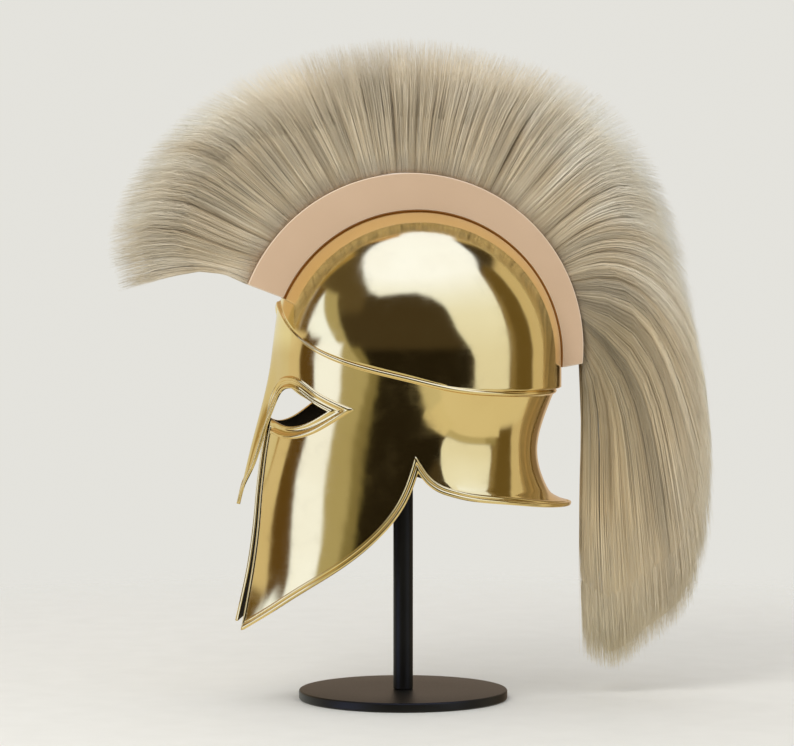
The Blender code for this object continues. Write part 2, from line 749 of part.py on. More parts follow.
def stand():
    """The round base, its post, and the cap on the post that the crown rests on."""
    black = material("matte_black", (0.012, 0.012, 0.012), 0.55, 0.0)
    r, h, b = BASE_RADIUS, BASE_HEIGHT, BASE_ROUND
    base = [(0, h), (r - b, h), (r - 0.3 * b, h - 0.3 * b), (r, h - b), (r, b)]
    base += [(r - b, 0), (0, 0)]
    turned("stand_base", base, black, 48)
    top = EQUATOR + DOME_RADIUS - METAL - CAP_CLEAR
    profile = [(0, top)]
    for i in range(1, CAP_STEPS + 1):
        radius = CAP_RADIUS * i / CAP_STEPS
        profile.append((radius, top - CAP_ROUND + math.sqrt(CAP_ROUND**2 - radius**2)))
    low = profile[-1][1] - CAP_RIM
    profile += [(CAP_RADIUS, low), (0, low)]
    turned("stand_cap", profile, black, 32)
    post = [(0, low - GAP), (POST_RADIUS, low - GAP), (POST_RADIUS, h + GAP), (0, h + GAP)]
    turned("stand_post", post, black, 24)


def main():
    """Clear the scene and build every piece."""
    for thing in list(bpy.data.objects):
        bpy.data.objects.remove(thing)
    helmet_shell()
    crest_box()
    plume()
    stand()


main()
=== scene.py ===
"""The looks of a Corinthian helmet with a horsehair plume, on a plain display stand.

The helmet is polished brass with raised borders, its crest box is painted, and its plume is
a fan of clumped horsehair. Tables are in millimetres and degrees unless they say otherwise,
as the helmet's construction has them, and a table's first row names its columns. +Z is up,
the helmet faces -X and its plane of symmetry is Y = 0.
"""
import math

import bpy
import numpy as np
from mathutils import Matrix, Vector
from mathutils.geometry import delaunay_2d_cdt

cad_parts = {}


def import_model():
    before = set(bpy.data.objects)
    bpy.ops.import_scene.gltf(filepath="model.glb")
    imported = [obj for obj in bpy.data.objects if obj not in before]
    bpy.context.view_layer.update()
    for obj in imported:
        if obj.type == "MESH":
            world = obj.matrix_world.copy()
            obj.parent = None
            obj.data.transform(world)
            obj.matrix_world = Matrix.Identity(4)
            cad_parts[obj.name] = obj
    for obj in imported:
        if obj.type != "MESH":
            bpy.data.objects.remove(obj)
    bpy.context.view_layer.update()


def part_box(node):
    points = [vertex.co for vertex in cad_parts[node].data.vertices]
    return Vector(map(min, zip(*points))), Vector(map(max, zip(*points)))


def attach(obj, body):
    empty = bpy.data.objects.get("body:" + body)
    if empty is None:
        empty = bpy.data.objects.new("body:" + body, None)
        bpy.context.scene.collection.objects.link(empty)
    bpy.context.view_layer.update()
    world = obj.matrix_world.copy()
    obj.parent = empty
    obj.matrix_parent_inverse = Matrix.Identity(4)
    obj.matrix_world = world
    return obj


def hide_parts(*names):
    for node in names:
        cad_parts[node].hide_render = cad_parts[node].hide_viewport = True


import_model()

MM = 0.001

# ---------------------------------------------------------------- the helmet's construction

# The helmet's metal and its dome, a circle in side view
METAL = 2.0
CENTRE_X = 10.5
EQUATOR = 289.0
DOME_RADIUS = 123.2
DOME_HALF_WIDTH = 97.5

# The wall below the dome, by height: its front at the middle, its half width, how far the
# nose stands forward, and how much the cheeks are pinched in towards the front
WALL = (
    ("height", "front", "half_width", "nose", "pinch"),
    (64, -170.0, 90.0, 3.0, 1.4),
    (110, -154.0, 91.5, 5.5, 1.35),
    (167, -139.3, 93.0, 8.0, 0.6),
    (220, -126.9, 94.5, 8.0, 0.05),
    (274, -113.5, 96.0, 4.0, 0.0),
    (300, -109.7, 96.8, 1.0, 0.0),
    (334, -105.0, 97.0, 0.0, 0.0),
)
NOSE_WIDTH = 8.5

# The ridge between dome and wall, by the angle round from the front
RIDGE = (
    ("angle", "height"),
    (0, 334.0), (10, 328.0), (20, 318.0), (33, 305.0), (52, 290.0),
    (79, 275.5), (94, 268.0), (119, 262.0), (150, 260.3), (180, 260.3),
)

# The neck guard's hollow, by the part of the drop from the ridge to the flange's crease, how
# much of it the sides have, and the angles over which the guard takes over from the wall
NECK = (("part", "out"), (0.0, 0.0), (0.25, -8.4), (0.57, -14.5), (0.8, -11.2), (1.0, -3.8))
NECK_LENGTH = 117.2
NECK_HALF_WIDTH = 98.0
NECK_SIDE = 0.7
NECK_STARTS = 72.0
NECK_BLEND = 40.0

# The crease that the guard's flange turns out at: its drop below the ridge, and how
# steeply the flange falls from it, steep at the sides and flatter behind
CREASE = (
    ("angle", "drop", "slope"),
    (86, 80.0, 66.0),
    (105, 82.4, 62.0),
    (130, 84.6, 52.0),
    (155, 86.2, 34.0),
    (180, 87.0, 25.0),
)
CREASE_ROUND = 2.5

# The metal's edge on one side, by angle and height, from the nasal's point to the back.
# A run ends at each corner of the edge.
NASAL_AND_BROW = (
    ("angle", "height"),
    (1.0, 166.0), (2.6, 178.0), (5.4, 189.0), (6.9, 198.0), (7.6, 210.0),
    (7.9, 222.0), (8.7, 236.0), (10.6, 247.5), (13.3, 256.5), (17.0, 262.0),
    (22.0, 264.4), (26.5, 264.5), (30.7, 262.5), (34.5, 258.9), (38.8, 254.6),
    (47.6, 247.0),
)
UNDER_EYE = (
    ("angle", "height"),
    (47.6, 247.0), (42.1, 240.6), (38.1, 236.9), (33.6, 234.5), (28.5, 233.5),
    (22.1, 234.5), (11.8, 238.0),
)
CHEEK_FRONT = (
    ("angle", "height"),
    (11.8, 238.0), (12.4, 220.0), (15.6, 191.0), (18.6, 171.0), (21.2, 156.0),
    (24.3, 135.0), (27.5, 109.0), (32.2, 63.5),
)
CHEEK_BOTTOM = (
    ("angle", "height"),
    (32.2, 63.5), (41.1, 78.5), (47.8, 91.5), (54.7, 104.5), (62.9, 120.6),
    (70.3, 138.6), (76.1, 157.0), (80.6, 178.0), (83.3, 197.5),
)
NECK_RIM = (
    ("angle", "height"),
    (83.3, 197.5), (86.6, 188.5), (91.0, 182.0), (98.0, 177.5), (108.0, 173.5),
    (124.0, 169.5), (140.0, 164.5), (158.0, 158.0), (180.0, 152.0),
)

# A border has two beads along it, each given by its middle and half width, as parts of
# the border's width from the edge, and its height
LIP = (0.10, 0.10, 0.5)
NARROW = (0.45, 0.40, 1.1, 0.93, 0.04, 0.0)
EYE_BAND = (*LIP, 0.80, 0.18, 1.7)
DOUBLE = (0.25, 0.24, 1.2, 0.74, 0.22, 1.2)
RIM = (0.22, 0.21, 1.4, 0.74, 0.20, 0.6)

# The border along each run: its width where the run starts and ends, the parts of the run
# between which that changes, and its beads at both ends
BORDERS = (
    ("run", "start_width", "end_width", "changes", "start_beads", "end_beads"),
    (NASAL_AND_BROW, 3.2, 10.5, (0.42, 0.62), NARROW, EYE_BAND),
    (UNDER_EYE, 10.5, 10.5, (0.0, 1.0), EYE_BAND, EYE_BAND),
    (CHEEK_FRONT, 3.6, 3.6, (0.0, 1.0), NARROW, NARROW),
    (CHEEK_BOTTOM, 6.4, 6.4, (0.0, 1.0), DOUBLE, DOUBLE),
    (NECK_RIM, 6.4, 7.5, (0.0, 1.0), DOUBLE, RIM),
)
# How far from a corner the beads take each other's form, and the border leans to its
# mitre: at least this far, or this many times the lean itself
BEAD_BLEND = 12.0
MITRE_BLEND = 22.0
MITRE_REACH = 1.6

# The ridge's bead, the heights above the ridge of its strip's other rows, and where the
# strip goes over from dome to wall
RIDGE_BEAD = 2.1
RIDGE_BEAD_AT = -0.4
STRIP_OVER_BEAD = (6.0, 4.6, 3.2, 2.6, 2.1)
STRIP_UNDER_BEAD = (-3.0, -4.0)
STRIP_ABOVE = STRIP_OVER_BEAD[0]
STRIP_BELOW = -STRIP_UNDER_BEAD[-1]
RIDGE_BLEND_FROM = 3.2
RIDGE_BLEND = 2.0

# How finely the shell is modelled: the distance between the points of its sheet, along its
# edge, and the number of points across a bead and round the metal's edge
FACET = 3.5
EDGE_STEP = 2.0
EDGE_SAMPLES = 60
BEAD_POINTS = 8
EDGE_ROUND = 0.6
ROUND_POINTS = 3
CLEAR_OF_OUTLINE = 0.45

# The wall is laid out flat with its angle, in radians, times this length
SHEET_SCALE = 110.0

# The most columns that the border's inner line loops over at a sharp corner
LOOP = 12

# An angle this near the front or the back lies on the middle plane
MIDDLE = 1e-9


def column(table, name):
    """One column of a table, by its name in the table's first row."""
    at = table[0].index(name)
    return np.array([row[at] for row in table[1:]], float)


def spline(xs, ys):
    """A natural cubic spline through points, as a function."""
    xs, ys = np.asarray(xs, float), np.asarray(ys, float)
    last = len(xs) - 1
    step = np.diff(xs)
    bend = np.zeros(last + 1)
    if last > 1:
        matrix = np.diag(2 * (step[:-1] + step[1:]))
        matrix += np.diag(step[1:-1], 1) + np.diag(step[1:-1], -1)
        slope = np.diff(ys) / step
        bend[1:-1] = np.linalg.solve(matrix, 6 * np.diff(slope))

    def value(at):
        at = np.clip(np.asarray(at, float), xs[0], xs[-1])
        i = np.clip(np.searchsorted(xs, at) - 1, 0, last - 1)
        before = (xs[i + 1] - at) / step[i]
        after = 1 - before
        line = before * ys[i] + after * ys[i + 1]
        curve = (before**3 - before) * bend[i] + (after**3 - after) * bend[i + 1]
        return line + curve * step[i] ** 2 / 6

    return value


def column_spline(table, x, y):
    """A spline through two columns of a table."""
    return spline(column(table, x), column(table, y))


WALL_FRONT = column_spline(WALL, "height", "front")
WALL_HALF_WIDTH = column_spline(WALL, "height", "half_width")
WALL_NOSE = column_spline(WALL, "height", "nose")
WALL_PINCH = column_spline(WALL, "height", "pinch")
RIDGE_HEIGHT = column_spline(RIDGE, "angle", "height")
NECK_OUT = column_spline(NECK, "part", "out")
CREASE_DROP = column_spline(CREASE, "angle", "drop")
FLANGE_SLOPE = column_spline(CREASE, "angle", "slope")


def smooth_step(x):
    """0 below 0, 1 above 1, and smooth between."""
    x = np.clip(x, 0.0, 1.0)
    return x**3 * (10 - 15 * x + 6 * x**2)


def wall(angle, drop):
    """The helmet's outer side on the near half, by the angle round from the front in
    radians and the drop below the ridge."""
    angle, drop = np.broadcast_arrays(np.asarray(angle, float), np.asarray(drop, float))
    degrees = np.degrees(angle)
    neck = smooth_step((degrees - NECK_STARTS) / NECK_BLEND)
    ridge = RIDGE_HEIGHT(degrees)
    height = ridge - drop
    crease = CREASE_DROP(degrees)
    past = drop - crease
    flange = 0.5 * (past + np.sqrt(past**2 + CREASE_ROUND**2))
    slope = np.radians(FLANGE_SLOPE(degrees))
    hollow = NECK_OUT(drop / crease)
    spread = flange * np.cos(slope)
    sunk = drop - flange * (1 - np.sin(slope))
    length = (CENTRE_X - WALL_FRONT(height)) * (1 - neck) + (NECK_LENGTH + hollow + spread) * neck
    side = NECK_HALF_WIDTH + NECK_SIDE * hollow + spread
    half = WALL_HALF_WIDTH(height) * (1 - neck) + side * neck
    pinch = WALL_PINCH(height) * (1 - neck) * (1 - np.sin(angle)) ** 2
    y = half * np.sin(angle) * (1 - pinch)
    flat = 1 - np.exp(-(y**2) / (2 * NOSE_WIDTH**2))
    x = CENTRE_X - length * np.cos(angle) + WALL_NOSE(height) * (1 - neck) * flat
    return np.stack([x, -y, ridge - drop * (1 - neck) - sunk * neck], -1)


def dome(angle, rise):
    """The dome on the near half, by the angle round and the rise along it from its
    equator, below which it is upright."""
    angle, rise = np.broadcast_arrays(np.asarray(angle, float), np.asarray(rise, float))
    turn = np.clip(rise, 0, None) / DOME_RADIUS
    ring = np.cos(turn)
    x = CENTRE_X - DOME_RADIUS * ring * np.cos(angle)
    y = -DOME_HALF_WIDTH * ring * np.sin(angle)
    z = EQUATOR + np.where(rise < 0, rise, DOME_RADIUS * np.sin(turn))
    return np.stack([x, y, z], -1)


def surface_frame(surface, a, b, sign):
    """A surface's two slopes, by its own two numbers, and its outward normal."""
    small = 1e-4
    across = (surface(a + small, b) - surface(a - small, b)) / (2 * small)
    along = (surface(a, b + small) - surface(a, b - small)) / (2 * small)
    normal = sign * np.cross(across, along)
    return across, along, normal / np.linalg.norm(normal, axis=-1, keepdims=True)


def raised(surface, sign, angle, distance, high):
    """Points that stand above a surface, or under it, with the surface's normals. Both
    stay on the middle plane at the front and the back."""
    angle = np.asarray(angle, float)
    _, _, normal = surface_frame(surface, angle, distance, sign)
    place = surface(angle, distance) + high * normal
    middle = (angle <= MIDDLE) | (angle >= math.pi - MIDDLE)
    place[..., 1] = np.where(middle, 0.0, place[..., 1])
    normal[..., 1] = np.where(middle, 0.0, normal[..., 1])
    return place, normal


def raised_wall(angle, drop, high):
    """Points that stand above the wall, with its normals."""
    return raised(wall, -1, angle, drop, high)


def raised_dome(angle, rise, high):
    """Points that stand above the dome, with its normals."""
    return raised(dome, 1, angle, rise, high)


# ---------------------------------------------------------------- the helmet's fine surface


def edge_run(points, step):
    """One run of the edge as angles, drops and distances along it, evenly spaced."""
    degrees, height = column(points, "angle"), column(points, "height")
    across = SHEET_SCALE * np.radians(degrees)
    chord = np.concatenate([[0], np.cumsum(np.hypot(np.diff(across), np.diff(height)))])
    fine = np.linspace(0, chord[-1], EDGE_SAMPLES * len(degrees))
    angle = spline(chord, across)(fine) / SHEET_SCALE
    drop = RIDGE_HEIGHT(np.degrees(angle)) - spline(chord, height)(fine)
    place = wall(angle, drop)
    run = np.concatenate([[0], np.cumsum(np.linalg.norm(np.diff(place, axis=0), axis=1))])
    even = np.linspace(0, run[-1], max(3, round(run[-1] / step) + 1))
    tangent = np.gradient(place, run, axis=0)
    tangent = np.stack([np.interp(even, run, tangent[:, k]) for k in range(3)], -1)
    tangent /= np.linalg.norm(tangent, axis=1, keepdims=True)
    return np.interp(even, run, angle), np.interp(even, run, drop), even, tangent


def blend(start, end, share):
    """Rows that go from one set of numbers to another."""
    share = np.asarray(share)[:, None]
    return np.array(start) * (1 - share) + np.array(end) * share


def edge_columns(step):
    """The border's columns along the whole edge: the angle and drop at the edge, the
    change in both to the border's inner line, and the beads' numbers."""
    runs = []
    for points, start, end, changes, start_beads, end_beads in BORDERS[1:]:
        angle, drop, along, tangent = edge_run(points, step)
        across, down, normal = surface_frame(wall, angle, drop, -1)
        left = np.cross(normal, tangent)
        share = smooth_step((along / along[-1] - changes[0]) / (changes[1] - changes[0]))
        runs.append({
            "angle": angle, "drop": drop, "along": along, "tangent": tangent, "left": left,
            "slopes": np.stack([across, down], -1),
            "width": blend([start], [end], share)[:, 0],
            "beads": blend(start_beads, end_beads, share),
            "lean": np.zeros(len(along)),
        })
    for before, after in zip(runs, runs[1:]):
        mitre_corner(before, after)
    table = []
    for number, run in enumerate(runs):
        inward = run["width"][:, None] * (
            run["left"] + run["lean"][:, None] * run["tangent"]
        )
        for i in range(len(inward)):
            if number and i == 0:
                continue
            change = np.linalg.lstsq(run["slopes"][i], inward[i], rcond=None)[0]
            table.append((run["angle"][i], run["drop"][i], *change, *run["beads"][i]))
    table = np.array(table)
    table[0, 2:4] = -table[0, 0], 0.0
    table[-1, 2] = 0.0
    crosses = table[:, 0] + table[:, 2] <= MIDDLE
    table[crosses, 2:4] *= (table[crosses, 0] / -table[crosses, 2])[:, None]
    close_loops(table)
    return table, int(np.nonzero(crosses)[0][-1])


def close_loops(table):
    """Draw the border's inner line together where it crosses itself at a sharp corner."""
    for i in range(len(table) - 1):
        for j in range(min(i + LOOP, len(table) - 2), i + 1, -1):
            inner = table[:, :2] + table[:, 2:4]
            side, other = inner[i + 1] - inner[i], inner[j + 1] - inner[j]
            across = side[0] * other[1] - side[1] * other[0]
            if abs(across) < 1e-12:
                continue
            apart = inner[j] - inner[i]
            at = (apart[0] * other[1] - apart[1] * other[0]) / across
            at_other = (apart[0] * side[1] - apart[1] * side[0]) / across
            if 0 <= at <= 1 and 0 <= at_other <= 1:
                meets = inner[i] + at * side
                table[i + 1:j + 1, 2:4] = meets - table[i + 1:j + 1, :2]
                break


def mitre_corner(before, after):
    """Lean the borders of two runs towards each other, so that they meet at a mitre, and
    make their beads alike there."""
    width_a, width_b = before["width"][-1], after["width"][0]
    left_a, left_b = before["left"][-1], after["left"][0]
    tangent_a, tangent_b = before["tangent"][-1], after["tangent"][0]
    reach = (width_b - width_a * left_a @ left_b) / (tangent_a @ left_b)
    mitre = width_a * left_a + reach * tangent_a
    lean_a, lean_b = reach / width_a, tangent_b @ mitre / width_b
    ends = (
        (before, lean_a, width_a, before["along"][-1] - before["along"]),
        (after, lean_b, width_b, after["along"]),
    )
    shared = (before["beads"][-1] + after["beads"][0]) / 2
    for run, lean, width, far in ends:
        length = max(MITRE_BLEND, MITRE_REACH * width * abs(lean))
        run["lean"] += lean * np.clip(1 - far / length, 0, 1)
        run["beads"] = blend(shared, [0] * 6, 1 - smooth_step(1 - far / BEAD_BLEND)) + (
            run["beads"] * smooth_step(far / BEAD_BLEND)[:, None]
        )


def bead(middle, half, high):
    """A round bead's rows: place across it and height, from its far side to its near."""
    turns = np.linspace(0, math.pi, BEAD_POINTS + 1)
    return [(middle + half * math.cos(t), high * math.sin(t)) for t in turns]


def bead_rows(beads, width):
    """The places across a border, from its inner line to the edge and round it, with the
    height of each above the wall."""
    mid_a, half_a, high_a, mid_b, half_b, high_b = beads
    rows = [(1.0, 0.0), *bead(mid_b, half_b, high_b), *bead(mid_a, half_a, high_a)]
    turn_in = EDGE_ROUND / width
    rows[-1] = (max(rows[-1][0], turn_in), rows[-1][1])
    for depth, start in ((EDGE_ROUND, 0.0), (METAL - EDGE_ROUND, math.pi / 2)):
        for i in range(ROUND_POINTS + 1):
            turn = start + math.pi / 2 * i / ROUND_POINTS
            rows.append((turn_in * (1 - math.sin(turn)), -depth + EDGE_ROUND * math.cos(turn)))
    return rows + [(1.0, -METAL)]


def ridge_rows():
    """The rows of the ridge's strip, from the dome down to the wall: height above the
    ridge, and how far the bead stands out."""
    rows = [(above, 0.0) for above in STRIP_OVER_BEAD]
    rows += [(RIDGE_BEAD_AT + place, high) for place, high in bead(0.0, RIDGE_BEAD, RIDGE_BEAD)]
    return rows + [(above, 0.0) for above in STRIP_UNDER_BEAD]


def ridge_point(angle, above, stands):
    """A point of the ridge's strip, where the dome gives way to the wall."""
    rise = dome_rise(angle) + above
    share = smooth_step((RIDGE_BLEND_FROM - above) / RIDGE_BLEND)
    place = dome(angle, rise) * (1 - share) + wall(angle, -above) * share
    out = np.array([-math.cos(angle) / DOME_RADIUS, -math.sin(angle) / DOME_HALF_WIDTH, 0])
    return place + stands * out / np.linalg.norm(out)


def dome_rise(angle):
    """How far along the dome's side, from its equator, the ridge lies."""
    above = RIDGE_HEIGHT(np.degrees(angle)) - EQUATOR
    rise = DOME_RADIUS * np.arcsin(np.clip(above, 0, None) / DOME_RADIUS)
    return np.where(above < 0, above, rise)


def inside(polygon, points, margin):
    """Which points lie inside a closed line and at least a margin from it."""
    start, end = polygon, np.roll(polygon, -1, axis=0)
    x, y = points[:, :1], points[:, 1:]
    upward = (start[:, 1] > y) != (end[:, 1] > y)
    rise = np.where(end[:, 1] == start[:, 1], 1e-12, end[:, 1] - start[:, 1])
    cross = x < start[:, 0] + (y - start[:, 1]) / rise * (end[:, 0] - start[:, 0])
    within = np.sum(upward & cross, axis=1) % 2 == 1
    side = end - start
    length = np.maximum(np.sum(side**2, axis=1), 1e-12)
    share = ((x - start[:, 0]) * side[:, 0] + (y - start[:, 1]) * side[:, 1]) / length
    share = np.clip(share, 0, 1)
    away = np.hypot(
        x - start[:, 0] - share * side[:, 0], y - start[:, 1] - share * side[:, 1]
    )
    return within & (away.min(axis=1) > margin)


class Shell:
    """The points of the near half of a mesh, with their normals, and its faces with
    their material. A normal of zero leaves the shading to the faces."""

    def __init__(self):
        self.points = []
        self.normals = []
        self.faces = []
        self.materials = []

    def add(self, place, normal=(0.0, 0.0, 0.0)):
        """Add a point, and give its number."""
        self.points.append(place)
        self.normals.append(normal)
        return len(self.points) - 1

    def add_all(self, places, normals, sign=1):
        """Add points, and give their numbers."""
        return [self.add(p, sign * n) for p, n in zip(places, normals)]

    def face(self, corners, number=0, flip=False):
        """Add a face."""
        self.faces.append(corners[::-1] if flip else corners)
        self.materials.append(number)

    def rows(self, upper, lower, number=0, flip=False):
        """Faces between two rows of points, the first on the left of the second."""
        for i in range(len(upper) - 1):
            self.face([upper[i], lower[i], lower[i + 1], upper[i + 1]], number, flip)


OUTSIDE, INSIDE = 0, 1


def dome_faces(shell, angles, bottom, depth):
    """The dome above its lowest row, at a depth under the outer side."""
    start = dome_rise(angles) + STRIP_ABOVE
    top = DOME_RADIUS * math.pi / 2
    count = round((top - start.min()) / FACET)
    number, sign = (INSIDE, -1) if depth else (OUTSIDE, 1)
    lower = bottom
    for i in range(1, count):
        rise = start + (top - start) * i / count
        upper = shell.add_all(*raised_dome(angles, rise, -depth), sign)
        shell.rows(upper, lower, number, flip=depth > 0)
        lower = upper
    pole = shell.add(
        np.array([CENTRE_X, 0.0, EQUATOR + DOME_RADIUS - depth]), (0.0, 0.0, float(sign))
    )
    for i in range(len(lower) - 1):
        shell.face([pole, lower[i], lower[i + 1]], number, flip=depth > 0)


def inner_columns(table, first):
    """The border's columns that have an inner point of their own."""
    inner = table[:, :2] + table[:, 2:4]
    kept = [first]
    for k in range(first + 1, len(table)):
        if np.abs(inner[k] - inner[kept[-1]]).max() > MIDDLE:
            kept.append(k)
    return kept


def wall_sheet(angles, table, kept):
    """The wall between the ridge's strip and the border's inner line, laid out flat: its
    points as angles and drops, its triangles, and how many points lie on its outline."""
    top = [(angle, STRIP_BELOW) for angle in angles[::-1]]
    inner = [(row[0] + row[2], row[1] + row[3]) for row in table[kept]]
    front = spaced(STRIP_BELOW, inner[0][1])
    back = spaced(inner[-1][1], STRIP_BELOW)
    outline = [(0.0, d) for d in front] + inner + [(math.pi, d) for d in back] + top
    outline = np.array(outline) * (SHEET_SCALE, -1.0)
    deepest = table[:, 1].max()
    drops = np.arange(STRIP_BELOW + FACET, deepest, FACET)
    grid = np.array([(a * SHEET_SCALE, -d) for a in angles[1:-1] for d in drops])
    grid = grid[inside(outline, grid, CLEAR_OF_OUTLINE * FACET)]
    places = np.concatenate([outline, grid])
    loop = [(i, (i + 1) % len(outline)) for i in range(len(outline))]
    found = delaunay_2d_cdt([Vector(p) for p in places], loop, [], 1, 1e-6)
    name = [source[0] for source in found[3]]
    triangles = [[name[i] for i in face] for face in found[2]]
    return places / (SHEET_SCALE, -1.0), triangles, (len(front), len(inner), len(back))


def spaced(start, end):
    """Places between two numbers, a facet apart and without the ends."""
    count = max(1, round(abs(end - start) / FACET))
    return np.linspace(start, end, count + 1)[1:-1]


def border(shell, table):
    """The border strips along the edge, the edge itself and the strip behind it. Gives
    the points of the inner line, outside and inside."""
    columns = []
    for angle, drop, turn, fall, *beads in table:
        inward = wall(angle + turn, drop + fall) - wall(angle, drop)
        rows = np.array(bead_rows(beads, max(1.5, np.linalg.norm(inward))))
        share, high = rows[:, 0], rows[:, 1:]
        places, normals = raised_wall(angle + turn * share, drop + fall * share, high)
        normals[1:-1] = 0.0
        normals[-1] *= -1
        columns.append([shell.add(p, n) for p, n in zip(places, normals)])
    last = len(columns[0]) - 2
    for row in range(last + 1):
        number = INSIDE if row == last else OUTSIDE
        shell.rows([c[row] for c in columns], [c[row + 1] for c in columns], number)
    shell.face(columns[0][::-1])
    return [c[0] for c in columns], [c[-1] for c in columns]


def helmet_half():
    """The near half of the helmet's shell, outside and inside."""
    shell = Shell()
    count = round(SHEET_SCALE * math.pi / FACET)
    angles = np.linspace(0, math.pi, count + 1)
    table, first = edge_columns(EDGE_STEP)
    kept = inner_columns(table, first)
    places, triangles, (front, inner, back) = wall_sheet(angles, table, kept)

    _, dome_normals = raised_dome(angles, dome_rise(angles) + STRIP_ABOVE, 0.0)
    _, wall_normals = raised_wall(angles, STRIP_BELOW, 0.0)
    rows = ridge_rows()
    strip = []
    for k, (above, stands) in enumerate(rows):
        normals = {0: dome_normals, len(rows) - 1: wall_normals}.get(k, 0 * dome_normals)
        points = [ridge_point(angle, above, stands) for angle in angles]
        strip.append(shell.add_all(points, normals))
    for upper, lower in zip(strip, strip[1:]):
        shell.rows(upper, lower)
    dome_faces(shell, angles, strip[0], 0.0)

    start = dome_rise(angles) + STRIP_ABOVE
    inner_dome = shell.add_all(*raised_dome(angles, start, -METAL), -1)
    dome_faces(shell, angles, inner_dome, METAL)
    inner_top = shell.add_all(*raised_wall(angles, STRIP_BELOW, -METAL), -1)
    shell.rows(inner_dome, inner_top, INSIDE, flip=True)

    columns, under = border(shell, table)
    for depth, top, lines in ((0.0, strip[-1], columns), (METAL, inner_top, under)):
        skin, normals = raised_wall(places[:, 0], places[:, 1], -depth)
        number = {front + i: lines[k] for i, k in enumerate(kept)}
        number.update({front + inner + back + i: p for i, p in enumerate(top[::-1])})
        for i in range(len(places)):
            if i not in number:
                number[i] = shell.add(skin[i], -normals[i] if depth else normals[i])
        for corners in triangles:
            shell.face([number[i] for i in corners], int(depth > 0), flip=depth > 0)
    return shell


def welded(shell):
    """A shell's points, normals, faces and materials, with points at one place joined."""
    points = np.array(shell.points)
    _, kept, name = np.unique(np.round(points, 5), axis=0, return_index=True, return_inverse=True)
    name = name.reshape(-1)
    faces, numbers = [], []
    for face, number in zip(shell.faces, shell.materials):
        corners = list(dict.fromkeys(int(name[i]) for i in face))
        if len(corners) > 2:
            faces.append(corners)
            numbers.append(number)
    return points[kept], np.array(shell.normals, float)[kept], faces, numbers


def mirrored(shell):
    """The whole shell from its near half, as points, normals, faces and materials."""
    points, normals, faces, numbers = welded(shell)
    count = len(points)
    middle = points[:, 1] > -1e-6
    points[middle, 1] = 0.0
    twin = np.full(count, -1)
    twin[~middle] = count + np.arange(np.sum(~middle))
    twin[middle] = np.nonzero(middle)[0]
    flip = np.array([1.0, -1.0, 1.0])
    points = np.concatenate([points, points[~middle] * flip])
    normals = np.concatenate([normals, normals[~middle] * flip])
    faces = faces + [[int(twin[i]) for i in face[::-1]] for face in faces]
    return points, normals, faces, numbers * 2


def new_object(name, points, faces, finishes, numbers=None):
    """An object from points in metres, shaded smooth."""
    mesh = bpy.data.meshes.new(name)
    mesh.from_pydata([tuple(map(float, p)) for p in points], [], faces)
    for finish in finishes:
        mesh.materials.append(finish)
    if numbers is not None:
        mesh.polygons.foreach_set("material_index", numbers)
    mesh.polygons.foreach_set("use_smooth", [True] * len(mesh.polygons))
    made = bpy.data.objects.new(name, mesh)
    bpy.context.scene.collection.objects.link(made)
    return made


def helmet(finishes):
    """The beaten shell with its borders and ridge."""
    points, normals, faces, numbers = mirrored(helmet_half())
    made = new_object("helmet", points * MM, faces, finishes, numbers)
    made.data.normals_split_custom_set_from_vertices([tuple(n) for n in normals])
    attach(made, "root")
    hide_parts("helmet_shell")


# ------------------------------------------------------------------------- the crest box

# The gap between neighbouring parts
GAP = 0.3

# The box lies between two circles in side view, whose centres differ a little. Its ends are
# given in degrees up from the back.
BOX_HALF_WIDTH = 15.0
BOX_INNER = {"x": 10.5, "z": 289.2, "radius": 123.85, "front": 156.3, "back": -4.4}
BOX_OUTER = {"x": 4.7, "z": 296.5, "radius": 146.4, "front": 158.6, "back": -5.4}
BOX_STEPS = 150
BOX_BEVEL = 0.8
BOX_BEVEL_STEPS = 3

# How far the box's sides reach down past the flat of its underside, and the dark strip under
# it, a painted shadow in the gap between box and dome
BOX_DROP = 0.95
BOX_FLAT = 11.5
SEAM_SHADOW_HALF_WIDTH = 14.3
SEAM_SHADOW_GAP = 0.08
SEAM_SHADOW_STEPS = 6


def arc(circle, steps):
    """Points along an arc in side view, from its front to its back."""
    turn = np.radians(np.linspace(circle["front"], circle["back"], steps + 1))
    x = circle["x"] + circle["radius"] * np.cos(turn)
    return np.stack([x, circle["z"] + circle["radius"] * np.sin(turn)], -1)


def soften(made, width, steps, finish):
    """Round an object's sharp edges, in another of its finishes."""
    bevel = made.modifiers.new("Bevel", "BEVEL")
    bevel.width = width * MM
    bevel.segments = steps
    bevel.limit_method = "ANGLE"
    bevel.angle_limit = math.radians(40)
    bevel.harden_normals = True
    bevel.material = finish


def arch_solid(name, section, finishes):
    """A closed solid swept along the crest. Its section's corners give how far each lies
    across, its place between the inner side and the outer side, and how far it reaches on
    towards the dome."""
    inner, outer = arc(BOX_INNER, BOX_STEPS), arc(BOX_OUTER, BOX_STEPS)
    centre = np.array([BOX_INNER["x"], BOX_INNER["z"]])
    count = len(section)
    points, faces = [], []
    for near, far in zip(inner, outer):
        down = (centre - near) / BOX_INNER["radius"]
        for across, share, reach in section:
            x, z = near * (1 - share) + far * share + down * reach
            points.append((x, across, z))
    for i in range(BOX_STEPS):
        a, b = count * i, count * (i + 1)
        for k in range(count):
            following = (k + 1) % count
            faces.append([b + k, b + following, a + following, a + k])
    faces += [list(range(count)), [count * BOX_STEPS + k for k in range(count)][::-1]]
    made = new_object(name, np.array(points) * MM, faces, finishes)
    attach(made, "root")
    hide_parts("crest_box")
    return made


